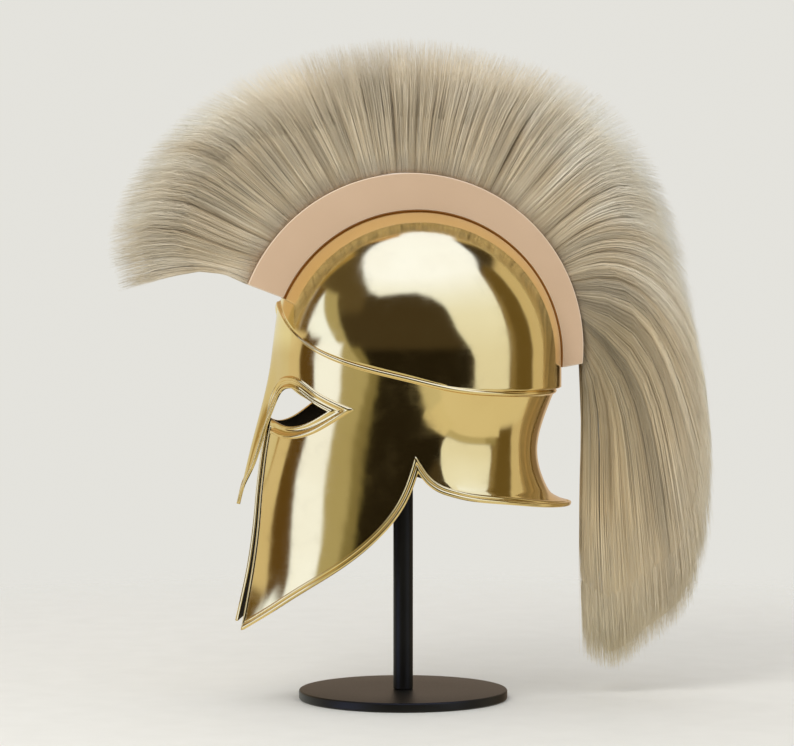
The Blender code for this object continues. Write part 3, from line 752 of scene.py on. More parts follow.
def crest_box(finish, edge, seam_shadow):
    """The arched box that carries the plume over the dome, and the dark strip under it that
    follows the dome's curve, a painted shadow in the gap between box and dome."""
    wide, flat = BOX_HALF_WIDTH, BOX_FLAT
    section = [(-wide, 1, 0), (-wide, 0, BOX_DROP), (-flat, 0, 0), (flat, 0, 0)]
    section += [(wide, 0, BOX_DROP), (wide, 1, 0)]
    box = arch_solid("crest_arch", section, [finish, edge])
    # The bevels take the second finish, paint made paler as a painted highlight along the edges.
    soften(box, BOX_BEVEL, BOX_BEVEL_STEPS, 1)
    # The strip under the box is dark paint that stands in for the shadow in the gap.
    under = SEAM_SHADOW_GAP + BOX_DROP * (SEAM_SHADOW_HALF_WIDTH - flat) / (wide - flat)
    section = [(SEAM_SHADOW_HALF_WIDTH, 0, under), (flat, 0, SEAM_SHADOW_GAP), (-flat, 0, SEAM_SHADOW_GAP)]
    section.append((-SEAM_SHADOW_HALF_WIDTH, 0, under))
    for k in range(-SEAM_SHADOW_STEPS, SEAM_SHADOW_STEPS + 1):
        across = SEAM_SHADOW_HALF_WIDTH * k / SEAM_SHADOW_STEPS
        dip = 1 - math.sqrt(1 - (across / DOME_HALF_WIDTH) ** 2)
        reach = BOX_INNER["radius"] - DOME_RADIUS - SEAM_SHADOW_GAP + DOME_RADIUS * dip
        section.append((across, 0, reach))
    strip = arch_solid("crest_seam_shadow", section, [seam_shadow])


# ------------------------------------------------------------------------------ the plume

# Half the plume's thickness at the box, at the tips, in the tail and at its thin edges
PLUME_ROOT_HALF = 11.0
PLUME_TIP_HALF = 22.0
TAIL_HALF = 27.0
PLUME_EDGE_HALF = 4.0

# Parts of the way along the box: where the tail starts to thicken and over how much, and
# how much of each end thins
TAIL_FROM = 0.72
TAIL_BLEND = 0.2
PLUME_END = 0.10

# Parts of the way up the hair: where the fringe starts to thin and by how much, and how
# much of the root keeps at least half its thickness; and how the hair swells from its root
FRINGE_FROM = 0.8
FRINGE_THIN = 0.8
ROOT_PART = 0.25
ROOT_LEAST = 0.5
SWELL_RATE = 1.3
SWELL_POWER = 0.7

# The hair's course, by its root's angle on the box's outer side: two places that it passes
# and its tip, in side view, from the front round to the tail
HAIR = (
    ("root_angle", "x1", "z1", "x2", "z2", "tip_x", "tip_z"),
    (158.6, -156, 360, -194, 357, -237, 345),
    (152.0, -161, 375, -194, 384, -246, 374),
    (143.0, -154, 405, -194, 421, -241, 413),
    (132.0, -129, 437, -166, 464, -213, 463),
    (120.0, -95, 463, -124, 498, -154, 515),
    (108.0, -55, 471, -70, 506, -85, 543),
    (96.0, -15, 479, -20, 516, -27, 554),
    (84.0, 23, 479, 28, 515, 32, 554),
    (72.0, 61, 471, 74, 506, 89, 542),
    (60.0, 97, 456, 120, 491, 150, 521),
    (48.0, 130, 431, 165, 460, 203, 471),
    (38.0, 149, 411, 189, 427, 233, 403),
    (29.0, 164, 381, 207, 375, 248, 325),
    (21.0, 180, 350, 226, 305, 263, 186),
    (13.0, 182, 311, 226, 211, 245, 77),
    (5.0, 171, 280, 193, 185, 206, 39),
    (-2.0, 160, 269, 167, 185, 175, 22),
    (-5.4, 152, 253, 151, 169, 156, 32),
)

# The hair gathers in locks, and in finer tufts within them, each up to this part of its
# width from its even place
SEED = 11
LOCKS = 84
TUFTS = 420
LOCK_SHIFT = 0.32

# How much the locks, the tail's locks, the soft patches, the tufts and the strands differ
# in tone, how much darker the hair is painted at the edges of a lock and of a tuft, as painted
# shade between them, how much lighter the shaded dense hair inside is painted, as painted
# light, and how fine the patches are
LOCK_TONE = 0.055
TAIL_LOCK_TONE = 0.085
PATCH_TONE = 0.10
TUFT_TONE = 0.05
STRAND_TONE = 0.05
LOCK_EDGE_SHADE = 0.07
TUFT_EDGE_SHADE = 0.03
CORE_PAINTED_LIGHT = 0.14
PATCH_COLUMNS = 64
PATCH_ROWS = 4

# How far a strand moves to the middle of its lock and of its tuft, as a part of its distance
# from there, and how much flatter the plume is between two locks
LOCK_PULL = 0.14
TUFT_PULL = 0.22
LOCK_GROOVE = 0.06

# In millimetres: how much shorter than the plume a strand may be, how far inside the fringe
# its short hairs start, and how far short of it the dense hair inside stops, at the front
# and in the tail
FADE = 42.0
TAIL_FADE = 22.0
FRINGE_ROOT = 66.0
CORE_SHORT = 46.0
TAIL_CORE_SHORT = 16.0

# How far a strand wanders from its place at its tip, in millimetres, the part of the
# strands that stray further, and how much a strand bows, as a part of its wandering
WANDER = 1.3
STRAY_WANDER = 4.0
STRAY_PART = 0.02
BOW = 0.25

# The part of the plume's thickness where its outer layer starts
OUTER_FROM = 0.84

# How much lighter or darker than its tone the hair is painted, by the part of the way along
# the box and at five places up the hair: painted light and shade, lightest high up at the
# back, and painted shade where the tail leaves the box
LIGHT_AT = {"root": 0.05, "low": 0.25, "middle": 0.5, "high": 0.75, "tip": 0.95}
HAIR_LIGHT = (
    ("along", "root", "low", "middle", "high", "tip"),
    (0.00, 1.30, 0.95, 1.10, 1.20, 0.75),
    (0.10, 1.20, 0.80, 0.85, 1.30, 1.15),
    (0.20, 1.25, 0.75, 1.00, 1.40, 1.30),
    (0.35, 1.30, 0.85, 1.00, 0.85, 0.75),
    (0.50, 1.20, 0.85, 1.05, 1.10, 0.85),
    (0.66, 1.10, 0.95, 1.30, 1.75, 1.25),
    (0.80, 0.85, 0.95, 1.30, 1.65, 1.20),
    (0.90, 0.45, 0.65, 0.80, 1.00, 1.00),
    (1.00, 0.50, 0.80, 1.00, 1.35, 1.25),
)

# The kinds of hair: radius in millimetres, at the root and tip as parts of that, and the
# part of the strands that lie in the plume's outer layer
KINDS = {
    "long": {"radius": 0.28, "root": 0.85, "tip": 0.10, "outer": 0.70},
    "short": {"radius": 0.16, "root": 0.60, "tip": 0.14, "outer": 0.50},
}

# The pieces that the hair comes in: the parts of the way along that each covers, its
# number of strands, and the rings of points along one strand
HAIR_PIECES = (
    ("name", "kind", "start", "stop", "strands", "rings"),
    ("plume_front", "long", 0.0, 0.26, 3700, 6),
    ("plume_crown", "long", 0.26, 0.52, 3700, 5),
    ("plume_back", "long", 0.52, 0.74, 3300, 6),
    ("plume_tail_top", "long", 0.74, 0.87, 2100, 11),
    ("plume_tail", "long", 0.87, 1.0, 2300, 11),
    ("fringe_front", "short", 0.0, 0.5, 7600, 3),
    ("fringe_back", "short", 0.5, 1.0, 7600, 3),
)

# The dense hair inside: how much of the plume's thickness it fills, how far short of both
# ends of the box it stops, where up it, at the front and in the tail, it starts to thin, its
# columns and rows of points, and the ripple and the fine lines along it
CORE_FILL = 0.84
CORE_END = 0.022
CORE_THIN = 0.66
TAIL_CORE_THIN = 0.80
CORE_COLUMNS = 360
CORE_ROWS = 22
CORE_RIPPLE = 0.3
CORE_LINES = 900.0

# How finely the hair's course is worked out, along the box and up the hair
GRID_COLUMNS = 361
GRID_ROWS = 81


def hair_line(root_angle, shares):
    """The hair that stands at an angle on the box, in side view, at shares of its
    length."""
    turn = math.radians(root_angle)
    reach = BOX_OUTER["radius"] + GAP
    xs = [BOX_OUTER["x"] + reach * math.cos(turn)]
    zs = [BOX_OUTER["z"] + reach * math.sin(turn)]
    for x, z in (("x1", "z1"), ("x2", "z2"), ("tip_x", "tip_z")):
        xs.append(spline(-column(HAIR, "root_angle"), column(HAIR, x))(-root_angle))
        zs.append(spline(-column(HAIR, "root_angle"), column(HAIR, z))(-root_angle))
    chord = np.concatenate([[0], np.cumsum(np.hypot(np.diff(xs), np.diff(zs)))])
    at = np.asarray(shares) * chord[-1]
    return np.stack([spline(chord, xs)(at), spline(chord, zs)(at)], -1)


def tail_part(along):
    """How much of the tail's form the hair has, by the part of the way along the box."""
    return smooth_step((along - TAIL_FROM) / TAIL_BLEND)


def plume_half(along, share):
    """Half the plume's thickness, by the part of the way along the box and up the hair."""
    tail = tail_part(along)
    full = PLUME_TIP_HALF * (1 - tail) + TAIL_HALF * tail
    swell = np.minimum(1.0, SWELL_RATE * share) ** SWELL_POWER
    half = PLUME_ROOT_HALF + (full - PLUME_ROOT_HALF) * swell
    ends = smooth_step(np.minimum(along, 1 - along) / PLUME_END)
    fringe = 1 - FRINGE_THIN * smooth_step((share - FRINGE_FROM) / (1 - FRINGE_FROM))
    root = 1 - smooth_step(share / ROOT_PART)
    thick = root * np.maximum(ends, ROOT_LEAST) + (1 - root) * ends * fringe
    return PLUME_EDGE_HALF + (half - PLUME_EDGE_HALF) * thick


def hair_grid():
    """The hair's course in side view over a grid of parts along the box and up the hair."""
    shares = np.linspace(0, 1, GRID_ROWS)
    front, back = BOX_OUTER["front"], BOX_OUTER["back"]
    turns = np.linspace(front, back, GRID_COLUMNS)
    return np.array([hair_line(turn, shares) for turn in turns])


GRID = hair_grid()
HAIR_LENGTH = np.linalg.norm(np.diff(GRID, axis=1), axis=2).sum(1)


def cell(part, count):
    """Which of a grid's steps a part of the way lies in, and how far along that step."""
    at = np.clip(part, 0, 1) * (count - 1)
    step = np.minimum(at.astype(int), count - 2)
    return step, at - step


def between(grid, i, j, p, q):
    """What a grid gives at parts p and q of the way from place i, j to the next."""
    low = grid[i, j] * (1 - p) + grid[i + 1, j] * p
    high = grid[i, j + 1] * (1 - p) + grid[i + 1, j + 1] * p
    return low * (1 - q) + high * q


def course(along, share):
    """Places in side view for arrays of parts along the box and up the hair."""
    i, p = cell(along, GRID_COLUMNS)
    j, q = cell(share, GRID_ROWS)
    return between(GRID, i, j, p[..., None], q[..., None])


def fast_mesh(name, points, faces, finishes):
    """An object from an array of points in millimetres and lists of faces as arrays, one
    array for each number of corners. Gives the object and its faces in their order."""
    mesh = bpy.data.meshes.new(name)
    mesh.vertices.add(len(points))
    mesh.vertices.foreach_set("co", (np.asarray(points) * MM).astype(np.float32).ravel())
    corners = np.concatenate([part.ravel() for part in faces])
    sizes = np.concatenate([np.full(len(part), part.shape[1]) for part in faces])
    mesh.loops.add(len(corners))
    mesh.loops.foreach_set("vertex_index", corners.astype(np.int32))
    mesh.polygons.add(len(sizes))
    starts = np.concatenate([[0], np.cumsum(sizes)[:-1]])
    mesh.polygons.foreach_set("loop_start", starts.astype(np.int32))
    mesh.polygons.foreach_set("use_smooth", np.ones(len(sizes), bool))
    for finish in finishes:
        mesh.materials.append(finish)
    mesh.update(calc_edges=True)
    mesh.validate()
    made = bpy.data.objects.new(name, mesh)
    bpy.context.scene.collection.objects.link(made)
    return made, corners


def add_map(made, name, places):
    """A UV map with one place for each corner."""
    layer = made.data.uv_layers.new(name=name)
    layer.uv.foreach_set("vector", places.astype(np.float32).ravel())


def hump(share):
    """How closely the hair lies in its locks, by the part of the way up it."""
    return smooth_step(share / 0.30) * (1 - 0.90 * smooth_step((share - 0.35) / 0.60))


class Gather:
    """Locks along the plume: their middles, and a number drawn for each."""

    def __init__(self, draw, count):
        shift = draw.uniform(-LOCK_SHIFT, LOCK_SHIFT, count)
        self.middles = (np.arange(count) + 0.5 + shift) / count
        self.edges = (self.middles[1:] + self.middles[:-1]) / 2
        self.tones = draw.normal(0, 1, count)
        self.count = count

    def of(self, along):
        """The lock's number for a place along the plume, its middle, and the place's
        distance from there in half widths."""
        number = np.searchsorted(self.edges, along)
        middle = self.middles[number]
        return number, middle, (along - middle) * 2 * self.count


DRAW = np.random.default_rng(SEED)
LOCK_SIDES = [Gather(DRAW, LOCKS), Gather(DRAW, LOCKS)]
TUFT_SIDES = [Gather(DRAW, TUFTS), Gather(DRAW, TUFTS)]
PATCHES = DRAW.normal(0, 1, (2, PATCH_COLUMNS, PATCH_ROWS))


def tone_of(side, along):
    """How light the hair is at places along one side, with painted shade that darkens the edges
    of its locks and tufts, and its distance from the middle of its lock."""
    off = LOCK_SIDES[side].of(along)[2]
    tuft, _, tuft_off = TUFT_SIDES[side].of(along)
    tone = 0.5 + TUFT_TONE * TUFT_SIDES[side].tones[tuft]
    # Painted shade: the hair is darker towards the edges of its locks and tufts.
    edges = LOCK_EDGE_SHADE * np.abs(off) ** 4 + TUFT_EDGE_SHADE * np.abs(tuft_off) ** 3
    return tone - edges, off


def patch_of(side, along, share):
    """How much lighter or darker than the rest whole locks and soft patches of the hair
    are: the locks show low down and in the tail, the patches half way up."""
    tail = tail_part(along)
    lock = LOCK_SIDES[side].tones[LOCK_SIDES[side].of(along)[0]]
    lower = 1 - smooth_step((share - 0.25) / 0.7)
    depth = LOCK_TONE * (1 - 0.5 * (1 - lower)) + TAIL_LOCK_TONE * tail * lower
    i, p = cell(along, PATCH_COLUMNS)
    j, q = cell(share, PATCH_ROWS)
    patch = between(PATCHES[side], i, j, smooth_step(p), smooth_step(q))
    middle = np.sin(math.pi * np.clip(share, 0, 1)) ** 0.7
    return 1 + depth * lock + PATCH_TONE * middle * patch


def light_of(along, share):
    """The painted light and shade on the hair: how much lighter or darker than its tone it is
    painted at places in the plume.
    """
    at = np.array(list(LIGHT_AT.values()))
    rows = column(HAIR_LIGHT, "along")
    grid = np.stack([column(HAIR_LIGHT, name) for name in LIGHT_AT], -1)
    i = np.clip(np.searchsorted(rows, along) - 1, 0, len(rows) - 2)
    j = np.clip(np.searchsorted(at, share) - 1, 0, len(at) - 2)
    p = smooth_step((along - rows[i]) / (rows[i + 1] - rows[i]))
    q = np.clip((share - at[j]) / (at[j + 1] - at[j]), 0, 1)
    return between(grid, i, j, p, q)


def part_short(along, short):
    """The part of the way up the hair that is this many millimetres short of its tip."""
    return 1 - short / np.interp(along, np.linspace(0, 1, GRID_COLUMNS), HAIR_LENGTH)


def strands(name, kind, start, stop, count, rings, draw, finish):
    """One piece of the plume: its strands, as thin tapered solids."""
    hair_kind = KINDS[kind]
    root = draw.uniform(start, stop, count)
    side = draw.integers(0, 2, count)
    outer = draw.uniform(0, 1, count) < hair_kind["outer"]
    surface = draw.uniform(OUTER_FROM, 1.0, count)
    depth = np.where(outer, surface, draw.uniform(0.0, OUTER_FROM, count))
    tail = tail_part(root)
    fade = FADE + (TAIL_FADE - FADE) * tail
    tip = part_short(root, fade * draw.uniform(0, 1, count) ** 1.2)
    base = part_short(root, FRINGE_ROOT) if kind == "short" else np.zeros(count)
    share = base[:, None] + np.linspace(0, 1, rings)[None, :] * (tip - base)[:, None]
    along = np.repeat(root[:, None], rings, 1)
    tone = np.empty(count)
    groove = np.empty(count)
    for which in (0, 1):
        mine = side == which
        middle = LOCK_SIDES[which].of(root[mine])[1]
        tuft_middle = TUFT_SIDES[which].of(root[mine])[1]
        tone[mine], groove[mine] = tone_of(which, root[mine])
        pull = LOCK_PULL * (middle - root[mine]) + TUFT_PULL * (tuft_middle - root[mine])
        along[mine] += hump(share[mine]) * pull[:, None]
    tone += draw.normal(0, STRAND_TONE, count)
    flat = course(along, share)
    half = plume_half(np.clip(along, 0, 1), share)
    bulge = 1 - LOCK_GROOVE * (groove**2)[:, None] * hump(share)
    away = np.where(side == 0, -1.0, 1.0)[:, None] * depth[:, None] * half * bulge
    points = np.stack([flat[..., 0], away, flat[..., 1]], -1)
    far = np.where(draw.uniform(0, 1, count) < STRAY_PART, STRAY_WANDER, WANDER)
    drift = draw.normal(0, 1, (count, 3)) * far[:, None]
    bow = draw.normal(0, BOW, (count, 3)) * far[:, None]
    up = share[..., None]
    points += drift[:, None, :] * up**2.2 + bow[:, None, :] * np.sin(math.pi * up)
    light = light_of(np.clip(along, 0, 1), share)
    starts = np.repeat(root[:, None], rings, 1)
    light *= np.where(side[:, None] == 0, patch_of(0, starts, share), patch_of(1, starts, share))
    tubes(name, points, share, tone, light, hair_kind, draw, finish)


def tubes(name, points, share, tone, light, kind, draw, finish):
    """Three-sided tapered tubes along lines of points, with a map of tone and light, one of
    each strand's own number and share, and one that lays each tube out on its own."""
    count, rings = points.shape[:2]
    ahead = np.gradient(points, axis=1)
    ahead /= np.linalg.norm(ahead, axis=2, keepdims=True)
    across = np.cross(ahead, [0.0, 1.0, 0.0])
    across /= np.linalg.norm(across, axis=2, keepdims=True)
    out = np.cross(across, ahead)
    along = np.linspace(0, 1, rings)
    taper = kind["root"] + (1 - kind["root"]) * smooth_step(along / 0.25)
    taper *= 1 - (1 - kind["tip"]) * smooth_step((along - 0.4) / 0.6)
    thick = kind["radius"] * taper[None, :, None] * draw.uniform(0.7, 1.3, (count, 1, 1))
    turn = draw.uniform(0, 2 * math.pi, (count, 1, 1))
    ring = []
    for k in range(3):
        angle = turn + 2 * math.pi * k / 3
        ring.append(points + thick * (np.cos(angle) * across + np.sin(angle) * out))
    places = np.stack(ring, 2).reshape(-1, 3)
    number = np.arange(count * rings * 3).reshape(count, rings, 3)
    following = np.roll(number, -1, 2)
    low, high = number[:, :-1], number[:, 1:]
    low_next, high_next = following[:, :-1], following[:, 1:]
    quads = np.stack([low, low_next, high_next, high], -1).reshape(-1, 4)
    caps = np.concatenate([number[:, 0, ::-1], number[:, -1]])
    made, corners = fast_mesh(name, places, [quads, caps], [finish])
    strand = corners // (rings * 3)
    level = corners // 3 % rings
    part = share.ravel()[corners // 3]
    add_map(made, "hair", np.stack([tone[strand], light.ravel()[corners // 3]], -1))
    own = draw.uniform(0, 100, count)
    add_map(made, "lines", np.stack([own[strand], part], -1))
    columns = math.ceil(math.sqrt(count * 12))
    rows = math.ceil(count / columns)
    turns = corners % 3 / 3
    quad_corner = np.arange(len(quads) * 4)
    turns[: len(quads) * 4] = (quad_corner // 4 % 3 + np.isin(quad_corner % 4, (1, 2))) / 3
    spread = np.stack([
        (strand % columns + 0.1 + 0.8 * turns) / columns,
        (strand // columns + 0.02 + 0.96 * level / (rings - 1)) / rows,
    ], -1)
    add_map(made, "OFBake", spread)
    made.data.uv_layers.active = made.data.uv_layers["OFBake"]
    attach(made, "root")
    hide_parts("plume")


def plume_core(finish):
    """The dense hair inside the plume, a closed form that thins to its fringe and ends."""
    columns = np.linspace(CORE_END, 1 - CORE_END, CORE_COLUMNS)
    rows = np.linspace(0, 1, CORE_ROWS)
    along, up = np.meshgrid(columns, rows, indexing="ij")
    tail = tail_part(along)
    share = up * part_short(along, CORE_SHORT + (TAIL_CORE_SHORT - CORE_SHORT) * tail)
    flat = course(along, share)
    ends = np.sqrt(smooth_step(np.minimum(along, 1 - along) / 0.05)) * 0.9 + 0.1
    half = CORE_FILL * plume_half(along, share) * ends
    thin_from = CORE_THIN + (TAIL_CORE_THIN - CORE_THIN) * tail
    half *= 1 - smooth_step((up - thin_from) / (1 - thin_from)) * 0.95
    sheets, tones, lights = [], [], []
    for side, sign in ((0, -1.0), (1, 1.0)):
        tone, off = tone_of(side, along)
        groove = 1 - LOCK_GROOVE * off**2 * hump(share)
        ripple = CORE_RIPPLE * np.sin(off * 5 * math.pi) * hump(share)
        away = sign * np.maximum(half * groove + ripple, 0.2)
        sheets.append(np.stack([flat[..., 0], away, flat[..., 1]], -1))
        tones.append(tone)
        lights.append(light_of(along, share) * patch_of(side, along, share))

    def joined(near, far):
        return np.concatenate([near, far[:, ::-1]], 1)

    points = joined(*sheets)
    # The dense hair inside is painted lighter, painted light against the shade that it lies in.
    tone = joined(*tones).ravel() + CORE_PAINTED_LIGHT
    light = joined(*lights).ravel()
    share = joined(share, share).ravel()
    along = joined(along, along).ravel()
    loop = points.shape[1]
    number = np.arange(CORE_COLUMNS * loop).reshape(CORE_COLUMNS, loop)
    following = np.roll(number, -1, 1)
    quads = np.stack([number[:-1], number[1:], following[1:], following[:-1]], -1)
    inner = np.arange(CORE_ROWS - 1)
    ends = []
    for line, flip in ((number[0], 1), (number[-1], -1)):
        cap = np.stack([line[inner], line[inner + 1], line[loop - 2 - inner],
                        line[loop - 1 - inner]], -1)
        ends.append(cap[:, ::flip])
    faces = [np.concatenate([quads.reshape(-1, 4), *ends])]
    made, corners = fast_mesh("plume_core", points.reshape(-1, 3), faces, [finish])
    add_map(made, "hair", np.stack([tone[corners], light[corners]], -1))
    add_map(made, "lines", np.stack([along[corners] * CORE_LINES, share[corners]], -1))
    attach(made, "root")
    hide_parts("plume")


def plume(finish):
    """The whole plume."""
    plume_core(finish)
    for name, kind, start, stop, count, rings in HAIR_PIECES[1:]:
        strands(name, kind, start, stop, count, rings, DRAW, finish)


# ------------------------------------------------------------------------------ the stand

# The rounding of the base's edge and of the post's and cap's, the radius of the cap's dome,
# and how finely each is turned
BASE_ROUND = 1.5
POST_ROUND = 0.4
CAP_ROUND = 66.0
ROUND_STEPS = 5
CAP_STEPS = 12
BASE_STEPS = 192
POST_STEPS = 96


def turned(name, profile, steps, node, finish):
    """A turned piece from a profile of radius and height, top to bottom, which stands for
    a CAD node."""
    points, faces = [], []
    rings = []
    for radius, height in profile:
        count = steps if radius > 0 else 1
        rings.append([len(points) + i for i in range(count)])
        for i in range(count):
            turn = 2 * math.pi * i / steps
            points.append((radius * math.cos(turn), radius * math.sin(turn), height))
    for upper, lower in zip(rings, rings[1:]):
        for i in range(steps):
            j = (i + 1) % steps
            face = [upper[i % len(upper)], lower[i % len(lower)]]
            if len(lower) > 1:
                face.append(lower[j])
            if len(upper) > 1:
                face.append(upper[j])
            faces.append(face)
    made = new_object(name, np.array(points), faces, [finish])
    made.data.set_sharp_from_angle(angle=math.radians(35))
    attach(made, "root")
    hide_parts(node)


def quarter(x, z, radius, start, stop):
    """Points of a rounded edge in a profile, between two angles in degrees."""
    turns = np.radians(np.linspace(start, stop, ROUND_STEPS + 1))
    return [(x + radius * math.cos(t), z + radius * math.sin(t)) for t in turns]


def stand(finish):
    """The round base, its post, and the cap on the post that the crown rests on."""
    low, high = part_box("stand_base")
    r, top, soft = high.x, high.z, BASE_ROUND * MM
    profile = [(0, top), (r * 0.5, top)]
    profile += quarter(r - soft, top - soft, soft, 90, 0)
    profile += quarter(r - soft, low.z + soft, soft, 0, -90)
    profile += [(r * 0.5, low.z), (0, low.z)]
    turned("display_base", profile, BASE_STEPS, "stand_base", finish)
    low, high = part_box("stand_post")
    r, soft = high.x, POST_ROUND * MM
    profile = [(0, high.z), (r - soft, high.z), (r, high.z - soft)]
    profile += [(r, low.z + soft), (r - soft, low.z), (0, low.z)]
    turned("display_post", profile, POST_STEPS, "stand_post", finish)
    low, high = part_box("stand_cap")
    r, top, dome = high.x, high.z, CAP_ROUND * MM
    profile = [(0, top)]
    for i in range(1, CAP_STEPS + 1):
        radius = (r - soft) * i / CAP_STEPS
        profile.append((radius, top - dome + math.sqrt(dome**2 - radius**2)))
    profile += [(r, profile[-1][1] - soft), (r, low.z + soft), (r - soft, low.z), (0, low.z)]
    turned("display_cap", profile, POST_STEPS, "stand_cap", finish)


# ---------------------------------------------------------------------------- materials


class Graph:
    """A node tree being written: each call adds a node and gives its output."""

    def __init__(self, tree):
        self.tree = tree
        tree.nodes.clear()

    def node(self, kind, **settings):
        made = self.tree.nodes.new(kind)
        for name, value in settings.items():
            setattr(made, name, value)
        return made

    def feed(self, socket, value):
        if isinstance(value, bpy.types.NodeSocket):
            self.tree.links.new(value, socket)
        elif isinstance(value, tuple) and len(value) == 3 and socket.type == "RGBA":
            socket.default_value = (*value, 1.0)
        else:
            socket.default_value = value

    def math(self, operation, *values):
        made = self.node("ShaderNodeMath", operation=operation)
        for socket, value in zip(made.inputs, values):
            self.feed(socket, value)
        return made.outputs[0]

    def split(self, vector):
        made = self.node("ShaderNodeSeparateXYZ")
        self.feed(made.inputs[0], vector)
        return made.outputs

    def scaled(self, vector, scale):
        made = self.node("ShaderNodeVectorMath", operation="MULTIPLY")
        self.feed(made.inputs[0], vector)
        made.inputs[1].default_value = scale
        return made.outputs[0]

    def noise(self, vector, scale, detail=3.0, rough=0.5, distortion=0.0):
        made = self.node("ShaderNodeTexNoise")
        self.feed(made.inputs["Vector"], vector)
        made.inputs["Scale"].default_value = scale
        made.inputs["Detail"].default_value = detail
        made.inputs["Roughness"].default_value = rough
        made.inputs["Distortion"].default_value = distortion
        return made.outputs[0]

    def span(self, value, low, high, to_low=0.0, to_high=1.0, smooth=False):
        made = self.node("ShaderNodeMapRange")
        made.interpolation_type = "SMOOTHSTEP" if smooth else "LINEAR"
        for socket, item in zip(made.inputs, (value, low, high, to_low, to_high)):
            self.feed(socket, item)
        return made.outputs[0]

    def mix(self, factor, first, second, blend="MIX"):
        made = self.node("ShaderNodeMix", data_type="RGBA", blend_type=blend)
        self.feed(made.inputs[0], factor)
        self.feed(made.inputs[6], first)
        self.feed(made.inputs[7], second)
        return made.outputs[2]

    def ramp(self, value, table):
        made = self.node("ShaderNodeValToRGB")
        self.feed(made.inputs[0], value)
        stops = made.color_ramp.elements
        while len(stops) < len(table) - 1:
            stops.new(0.5)
        for stop, (place, *colour) in zip(stops, table[1:]):
            stop.position = place
            stop.color = (*colour, 1.0)
        return made.outputs[0]

    def bump(self, height, strength, distance):
        made = self.node("ShaderNodeBump")
        self.feed(made.inputs["Height"], height)
        made.inputs["Strength"].default_value = strength
        made.inputs["Distance"].default_value = distance
        return made.outputs[0]


def finish_of(name, paint):
    """A material whose Principled sockets are what paint gives for its node tree."""
    made = bpy.data.materials.new(name)
    made.use_nodes = True
    graph = Graph(made.node_tree)
    shader = graph.node("ShaderNodeBsdfPrincipled")
    for socket, value in paint(graph).items():
        graph.feed(shader.inputs[socket], value)
    output = graph.node("ShaderNodeOutputMaterial")
    graph.feed(output.inputs["Surface"], shader.outputs[0])
    return made


def place(graph):
    return graph.node("ShaderNodeTexCoord").outputs["Object"]


# The strip of the dome beside the box that is painted brighter than the rest, a painted
# reflection: its reach from the middle and the height that it starts at, in metres
REFLECTION_STRIP_ASIDE = (0.036, 0.054)
REFLECTION_STRIP_OVER = (0.29, 0.31)


def gold(graph):
    """Brass polished to a mirror, with faint hand marks, fine polishing lines and a painted
    reflection: a brighter strip beside the box."""
    where = place(graph)
    broad = graph.noise(where, 9.0, 3.0, 0.55)
    marks = graph.noise(where, 60.0, 4.0, 0.6, 0.4)
    lines = graph.noise(graph.scaled(where, (60.0, 60.0, 900.0)), 1.0, 2.0, 0.6)
    smudge = graph.span(marks, 0.48, 0.72, 0.0, 0.05)
    rough = graph.span(broad, 0.3, 0.7, 0.075, 0.105)
    rough = graph.math("ADD", rough, smudge)
    rough = graph.math("ADD", rough, graph.span(lines, 0.3, 0.7, -0.01, 0.015))
    tone = graph.mix(graph.span(broad, 0.35, 0.65), (0.84, 0.645, 0.285), (0.80, 0.60, 0.255))
    tone = graph.mix(graph.span(marks, 0.55, 0.75, 0.0, 0.12), tone, (0.70, 0.50, 0.22))
    # Painted reflection: the strip of dome beside the box is painted a brighter brass.
    _, aside, height = graph.split(where)
    aside = graph.math("ABSOLUTE", aside)
    beside = graph.span(aside, *REFLECTION_STRIP_ASIDE, 1.0, 0.0, smooth=True)
    over = graph.span(height, *REFLECTION_STRIP_OVER, smooth=True)
    tone = graph.mix(graph.math("MULTIPLY", beside, over), tone, (0.98, 0.80, 0.39))
    waves = graph.noise(where, 26.0, 2.0, 0.5)
    return {
        "Base Color": tone,
        "Metallic": 1.0,
        "Roughness": rough,
        "Normal": graph.bump(waves, 0.05, 0.004),
    }


def gold_inside(graph):
    """The skin of the shell's inside, near black and dull, in faint patches."""
    where = place(graph)
    patches = graph.noise(where, 22.0, 5.0, 0.6)
    fine = graph.noise(where, 240.0, 3.0, 0.6)
    tone = graph.mix(graph.span(patches, 0.35, 0.7), (0.022, 0.017, 0.011), (0.06, 0.04, 0.02))
    return {
        "Base Color": tone,
        "Metallic": 0.7,
        "Roughness": graph.span(fine, 0.3, 0.7, 0.5, 0.7),
        "Normal": graph.bump(fine, 0.15, 0.001),
    }


def seam_shadow(graph):
    """The dark line where the box meets the dome: a painted shadow of the gap under the box."""
    where = place(graph)
    broad = graph.noise(where, 90.0, 3.0, 0.6)
    return {
        "Base Color": graph.mix(broad, (0.32, 0.13, 0.03), (0.42, 0.17, 0.04)),
        "Roughness": graph.span(broad, 0.3, 0.7, 0.55, 0.75),
        "Specular IOR Level": 0.2,
    }


def blush_edge_highlight(graph):
    """The paint along the box's bevelled edges, made paler: a painted highlight where the edges
    catch the light.
    """
    made = blush(graph)
    made["Base Color"] = graph.mix(0.55, made["Base Color"], (0.93, 0.80, 0.64))
    return made


